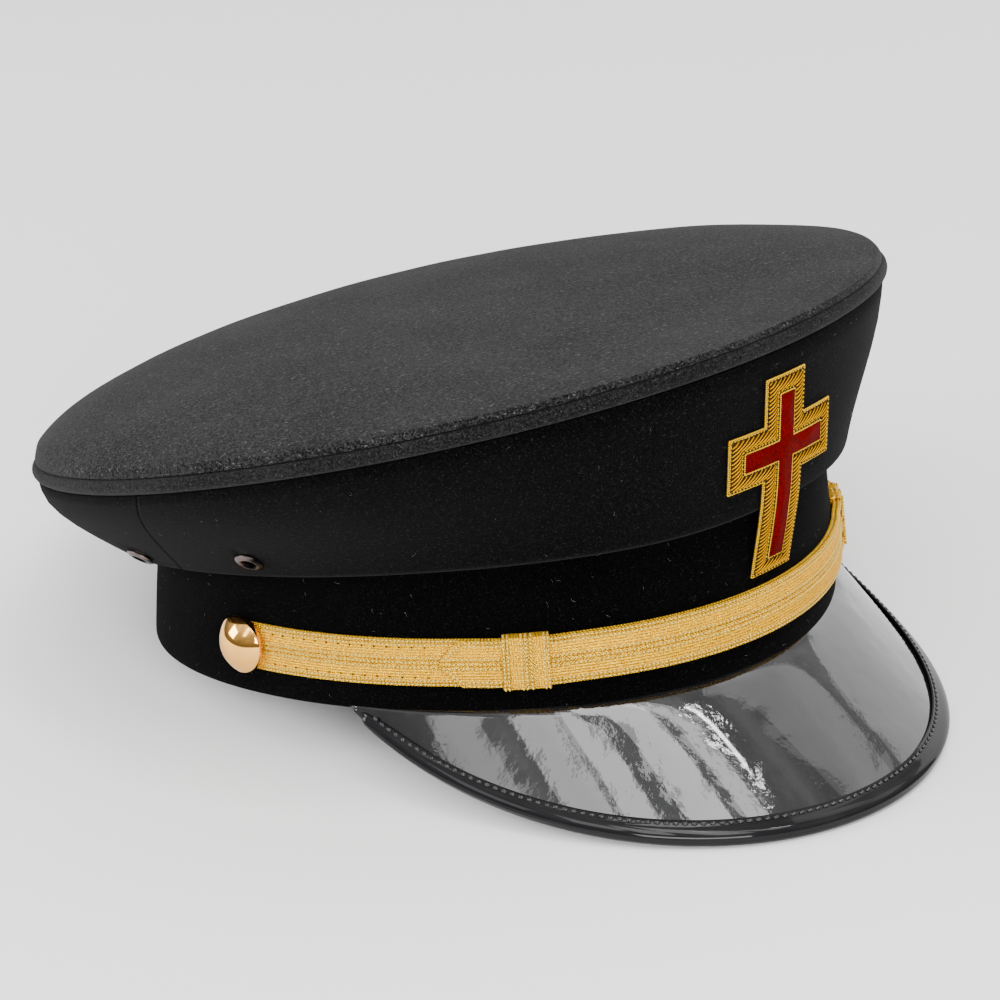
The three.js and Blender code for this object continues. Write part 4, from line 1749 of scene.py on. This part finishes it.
@dataclass
class PassionCross:
    """The padded cross: bullion over near-black padding that paints the shade between its strands,
    purl on both sides, red velvet inside.
    """

    height: float = 0.0572
    span: float = 0.0405
    arm: float = 0.0156
    arm_below_top: float = 0.013
    border: float = 0.0052
    bend: float = 0.115
    back_inset: float = 0.0002
    strand: float = 0.00032
    strand_spacing: float = 0.00096
    strand_angle: float = 33.0
    strand_step: float = 0.00025
    shortest_strand: int = 4
    padded_from: float = 0.0009
    padded_to: float = 0.0043
    pad_low: float = 0.0006
    pad_high: float = 0.00105
    padding_share: float = 0.26
    purl_outer: tuple = ((0.0002, 0.0005), (0.0007, 0.00055))
    purl_inner: tuple = ((0.00022, 0.0012), (0.0007, 0.0009))
    purl_bead: tuple = (0.0006, 0.00062, 0.0005)
    dark_outer: tuple = ((0.00076, 0.0009),)
    dark_inner: tuple = ((0.00076, 0.00125),)
    dark_bead: tuple = (0.00115, 0.0006, 0.0006)
    spine: list[tuple[float, Vector]] = field(default_factory=list)

    def find_spine(self) -> None:
        """Reads the line that the cross follows up the cap from its CAD border."""
        half = self.arm / 2 - self.back_inset
        found = {}
        for vertex in frame["nodes"]["cross_border"].data.vertices:
            own = REST.own(vertex.co)
            if abs(abs(own.x) - half) < MERGE:
                found[round(own.z, 5)] = own.y - own.x ** 2 / (2 * self.bend)
        line = [Vector((0, found[key], key)) for key in sorted(found)]
        rise = self.back_inset
        self.spine = [(rise, line[0])]
        for before, after in zip(line, line[1:]):
            rise += (after - before).length
            self.spine.append((rise, after))

    def point(self, side: float, rise: float, out: float) -> Vector:
        """Own place on the cross.

        Args:
            side: distance to the wearer's left of its middle line.
            rise: distance up from its foot.
            out: distance from its back face.

        Returns:
            The place on the upright cap.
        """
        index = 1
        while index < len(self.spine) - 1 and self.spine[index][0] < rise:
            index += 1
        end = len(self.spine) - 1
        knots = [self.spine[min(max(i, 0), end)] for i in range(index - 2, index + 2)]
        (start, first), (stop, last) = knots[1], knots[2]
        share = (rise - start) / (stop - start)
        before = (last - knots[0][1]) / max(stop - knots[0][0], 1e-9) * (stop - start)
        after = (knots[3][1] - first) / max(knots[3][0] - start, 1e-9) * (stop - start)
        s2, s3 = share ** 2, share ** 3
        place = first * (2 * s3 - 3 * s2 + 1) + before * (s3 - 2 * s2 + share)
        place += last * (3 * s2 - 2 * s3) + after * (s3 - s2)
        travel = first * (6 * s2 - 6 * share) + before * (3 * s2 - 4 * share + 1)
        travel += last * (6 * share - 6 * s2) + after * (3 * s2 - 2 * share)
        normal = Vector((0, -travel.z, travel.y)).normalized()
        return place + Vector((side, side ** 2 / (2 * self.bend), 0)) + normal * out

    def normal(self, rise: float) -> Vector:
        """Own direction square to the face of the cross."""
        return (self.point(0, rise, MM) - self.point(0, rise, 0)).normalized()

    def outward(self, own: Vector) -> Vector:
        """Own direction away from the cap at an own place near the cross."""
        return self.normal(own.z - self.spine[0][1].z)

    def locate(self, own: Vector) -> tuple[float, float, float]:
        """Side, rise and height above the back face of an own place.

        Args:
            own: a place on the upright cap.

        Returns:
            The three distances.
        """
        flat = Vector((0, own.y - own.x ** 2 / (2 * self.bend), own.z))
        rise = own.z - self.spine[0][1].z
        for _ in range(6):
            miss = flat - self.point(0, rise, 0)
            normal = self.normal(rise)
            travel = Vector((0, normal.z, -normal.y))
            rise += miss.dot(travel)
        return own.x, rise, miss.dot(normal)

    def padding(self) -> bmesh.types.BMesh:
        """Low padding under the strands, made from the CAD border.

        Returns:
            The mesh of the padding.
        """
        bm = merged_copy("cross_border")
        for vertex in bm.verts:
            side, rise, out = self.locate(REST.own(vertex.co))
            vertex.co = REST.place(self.point(side, rise, out * self.padding_share))
        return bm

    def corners(self, inset: float) -> list[tuple[float, float]]:
        """Corners of the outline drawn in by an inset, counter-clockwise from the lower right.

        Args:
            inset: how far it is drawn in.

        Returns:
            The side and the rise of each corner.
        """
        half = self.arm / 2 - inset
        reach = self.span / 2 - inset
        arm_top = self.height - self.arm_below_top - inset
        arm_low = self.height - self.arm_below_top - self.arm + inset
        top = self.height - inset
        right = [(half, inset), (half, arm_low), (reach, arm_low), (reach, arm_top),
                 (half, arm_top), (half, top)]
        return right + [(-side, rise) for side, rise in reversed(right)]

    def inset_of(self, side: float, rise: float) -> float:
        """How far a place lies inside the outline, and below 0 outside it.

        Args:
            side: distance to the wearer's left of the middle line.
            rise: distance up from the foot.

        Returns:
            The distance to the nearest edge.
        """
        across = abs(side)
        upright = min(self.arm / 2 - across, rise, self.height - rise)
        arm_top = self.height - self.arm_below_top
        level = min(self.span / 2 - across, arm_top - rise, rise - arm_top + self.arm)
        if upright < 0 or level < 0:
            return max(upright, level)
        near_corner = min(math.hypot(across - self.arm / 2, rise - corner)
                          for corner in (arm_top, arm_top - self.arm))
        return min(max(upright, level), max(near_corner, upright, level))

    def pad(self, inset: float) -> float:
        """Height of the padded border above its back face.

        Args:
            inset: the distance in from the outline.

        Returns:
            The height.
        """
        middle = (self.padded_from + self.padded_to) / 2
        half = (self.padded_to - self.padded_from) / 2
        bow = 1 - ((inset - middle) / half) ** 2
        return self.pad_low + (self.pad_high - self.pad_low) * bow

    def strands(self) -> list[list[Vector]]:
        """Slanting bullion strands over the padding.

        Returns:
            The own places along each strand.
        """
        turn = math.radians(self.strand_angle)
        along = (math.cos(turn), math.sin(turn))
        square = (-along[1], along[0])
        reach = self.height
        paths = []
        count = int(2 * reach / self.strand_spacing)
        for row in range(count):
            offset = (row - count / 2) * self.strand_spacing
            path: list[Vector] = []
            for tick in range(int(2 * reach / self.strand_step)):
                run = tick * self.strand_step - reach
                side = along[0] * run + square[0] * offset
                rise = self.height / 2 + along[1] * run + square[1] * offset
                inset = self.inset_of(side, rise)
                if self.padded_from <= inset <= self.padded_to:
                    path.append(self.point(side, rise, self.pad(inset)))
                elif path:
                    paths.append(path)
                    path = []
            if path:
                paths.append(path)
        return [path for path in paths if len(path) >= self.shortest_strand]

    def purl_row(self, inset: float, out: float, spacing: float, length: float, size: float
                 ) -> list[Bead]:
        """Beads or stitches along the outline drawn in by an inset.

        Args:
            inset: how far inside the outline the row runs.
            out: its height above the back face.
            spacing: from one bead to the next.
            length: the length of a bead.
            size: its width and height.

        Returns:
            The places of the beads.
        """
        corners = self.corners(inset)
        places = []
        for (side, rise), (to_side, to_rise) in zip(corners, corners[1:] + corners[:1]):
            count = max(1, round(math.hypot(to_side - side, to_rise - rise) / spacing))
            for i in range(count):
                share = (i + 0.5) / count
                s, r = side + (to_side - side) * share, rise + (to_rise - rise) * share
                ahead = self.point(s + (to_side - side) * 0.01, r + (to_rise - rise) * 0.01, out)
                here = self.point(s, r, out)
                places.append(Bead(here, ahead - here, self.normal(r), length, size, size))
        return places

    def edge_rows(self, outer: tuple, inner: tuple, bead: tuple) -> list[Bead]:
        """Rows of beads along both edges of the border.

        Args:
            outer: the distance in from the outer edge and the height of each row there.
            inner: the distance out from the inner edge and the height of each row there.
            bead: the spacing, length and size of the beads.

        Returns:
            The places of the beads.
        """
        rows = [*outer, *((self.border - away, out) for away, out in inner)]
        return [place for inset, out in rows for place in self.purl_row(inset, out, *bead)]

    def build(self, finishes: Finishes) -> None:
        """Builds and dresses the cross.

        Args:
            finishes: the finishes of the cap.
        """
        self.find_spine()
        # The padding's near-black finish is painted shade in the gaps between the strands.
        make_piece("cross_padding", self.padding(), finishes.padding,
                   ["cross_border"])
        threads("cross_bullion", self.strands(), self.strand, finishes.bullion,
                self.outward)
        purl = self.edge_rows(self.purl_outer, self.purl_inner, self.purl_bead)
        beads("cross_purl", purl, finishes.purl)
        dark = self.edge_rows(self.dark_outer, self.dark_inner, self.dark_bead)
        beads("cross_stitches", dark, finishes.sewing)
        make_piece("cross_velvet", merged_copy("cross_field"), finishes.velvet,
                   ["cross_field"])


# Studio

def bearing(azimuth: float, elevation: float) -> Vector:
    """Direction from the cap, by degrees around it and above the floor.

    Args:
        azimuth: degrees from the front toward the wearer's left.
        elevation: degrees above the floor.

    Returns:
        A direction of length 1.
    """
    turn, rise = math.radians(azimuth), math.radians(elevation)
    return Vector((math.sin(turn) * math.cos(rise), -math.cos(turn) * math.cos(rise),
                   math.sin(rise)))


@dataclass
class Studio:
    """Pale floor, soft light, and the camera at the photograph's viewing angle."""

    azimuth: float = -46.483
    elevation: float = 23.96
    roll: float = -0.272
    target: tuple = (0.0, 0.00589, 0.06088)
    distance: float = 0.97569
    focal: float = 3497.45
    middle: tuple = (495.857, 441.319)
    image: float = 1000.0
    sensor: float = 36.0
    floor_size: float = 6.0
    overhead: float = 1.4
    level: float = 0.22
    cloud_scale: tuple = (5.0, 3.2, 3.2)
    panel_distance: float = 1.6
    panels: tuple = (
        ("panel_back_left", -128.0, 24.0, 0.80, 0.6, 15.0),
        ("panel_front", -36.0, 20.0, 0.90, 0.5, 19.0),
        ("panel_left", -82.0, 40.0, 0.26, 0.6, 3.6),
        ("panel_left_high", -61.0, 54.0, 0.25, 0.6, 6.5),
        ("panel_over_left", -44.0, 61.0, 0.20, 0.7, 8.5),
        ("panel_over", -14.0, 67.0, 0.30, 0.8, 10.0),
        ("panel_over_right", 11.0, 67.0, 0.15, 0.6, 8.5),
        ("panel_slit", 24.0, 63.0, 0.032, 0.17, 70.0),
        ("panel_right", 62.0, 50.0, 0.46, 0.9, 1.7),
        ("panel_side", 96.0, 12.0, 1.40, 1.2, 2.0),
    )

    def camera(self) -> None:
        """Makes the camera."""
        data = bpy.data.cameras.new("camera")
        data.sensor_width = self.sensor
        data.lens = self.focal / self.image * self.sensor
        data.shift_x = (self.image / 2 - self.middle[0]) / self.image
        data.shift_y = (self.middle[1] - self.image / 2) / self.image
        camera = bpy.data.objects.new("camera", data)
        back = bearing(self.azimuth, self.elevation)
        camera.location = Vector(self.target) + back * self.distance
        aim = back.to_track_quat("Z", "Y").to_matrix()
        camera.rotation_euler = (aim @ Matrix.Rotation(math.radians(self.roll), 3, "Z")).to_euler()
        bpy.context.scene.collection.objects.link(camera)
        bpy.context.scene.camera = camera

    def floor(self) -> None:
        """Makes the pale floor."""
        material, shade, shader, vector = start_material("pale_floor")
        faint = shade.noise(vector, 3.0)
        shade.feed(shader.inputs["Base Color"], shade.mix(faint, (0.86, 0.86, 0.86, 1),
                                                         (0.89, 0.89, 0.89, 1)))
        shader.inputs["Roughness"].default_value = 0.8
        bm = bmesh.new()
        bmesh.ops.create_grid(bm, x_segments=1, y_segments=1, size=self.floor_size / 2)
        mesh = bpy.data.meshes.new("floor")
        bm.to_mesh(mesh)
        bm.free()
        mesh.materials.append(material)
        floor = bpy.data.objects.new("floor", mesh)
        bpy.context.scene.collection.objects.link(floor)
        floor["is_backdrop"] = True

    def light(self, name: str, azimuth: float, elevation: float, width: float, height: float,
              radiance: float) -> None:
        """Adds a soft panel that points at the cap.

        Args:
            name: the name of the light.
            azimuth: where it stands, in degrees around the cap.
            elevation: how high it stands, in degrees.
            width: its width.
            height: its height.
            radiance: how bright its face looks.
        """
        data = bpy.data.lights.new(name, "AREA")
        data.shape = "RECTANGLE"
        data.size = width
        data.size_y = height
        data.energy = radiance * math.pi * width * height
        back = bearing(azimuth, elevation)
        lamp = bpy.data.objects.new(name, data)
        lamp.location = Vector(self.target) + back * self.panel_distance
        lamp.rotation_euler = back.to_track_quat("Z", "Y").to_euler()
        bpy.context.scene.collection.objects.link(lamp)

    def build(self) -> None:
        """Sets up the studio."""
        self.camera()
        self.floor()
        self.dome()
        for name, azimuth, elevation, width, height, radiance in self.panels:
            self.light(name, azimuth, elevation, width, height, radiance)

    def dome(self) -> None:
        """Surrounds the cap with soft light that is brightest overhead."""
        world = bpy.data.worlds.new("studio")
        world.use_nodes = True
        shade = Shade(world.node_tree)
        direction = shade.node("TexCoord").outputs["Generated"]
        rise = shade.node("SeparateXYZ", {"Vector": direction}).outputs["Z"]
        background = world.node_tree.nodes["Background"]
        background.inputs["Color"].default_value = (1, 1, 1, 1)
        drift = shade.noise(shade.spread(direction, self.cloud_scale), 1.0, 3.0)
        cloud = shade.math("MULTIPLY_ADD", shade.step(drift, 0.3, 0.66), 0.9, 0.5)
        above = shade.math("MULTIPLY", shade.step(rise, 0.05, 0.9), self.overhead - self.level)
        shade.feed(background.inputs["Strength"],
                   shade.math("MULTIPLY_ADD", above, cloud, self.level))
        bpy.context.scene.world = world


def main() -> None:
    """Builds the cap and the studio, and measures how far the looks reach."""
    logging.basicConfig(level=logging.INFO, format="%(message)s")
    finishes = Finishes()
    studio = Studio()
    studio.build()
    parts = [Crown(), BandCloth(), Visor(), LaceStrap("right", 1, FIT.lower),
             LaceStrap("left", -1, FIT.upper), Keeper("right", -FIT.keeper_right),
             Keeper("left", FIT.keeper_left), Button("right"), Button("left"), PassionCross()]
    parts += [Eyelet(f"eyelet_{side}_{place}") for side in ("right", "left")
              for place in ("front", "back")]
    for part in parts:
        log.info("building %s", type(part).__name__)
        part.build(finishes)
    bpy.context.view_layer.update()
    sizes = [[list(corner) for corner in bounds] for bounds in (CAD_BOUNDS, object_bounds())]


if __name__ == "__main__":
    main()
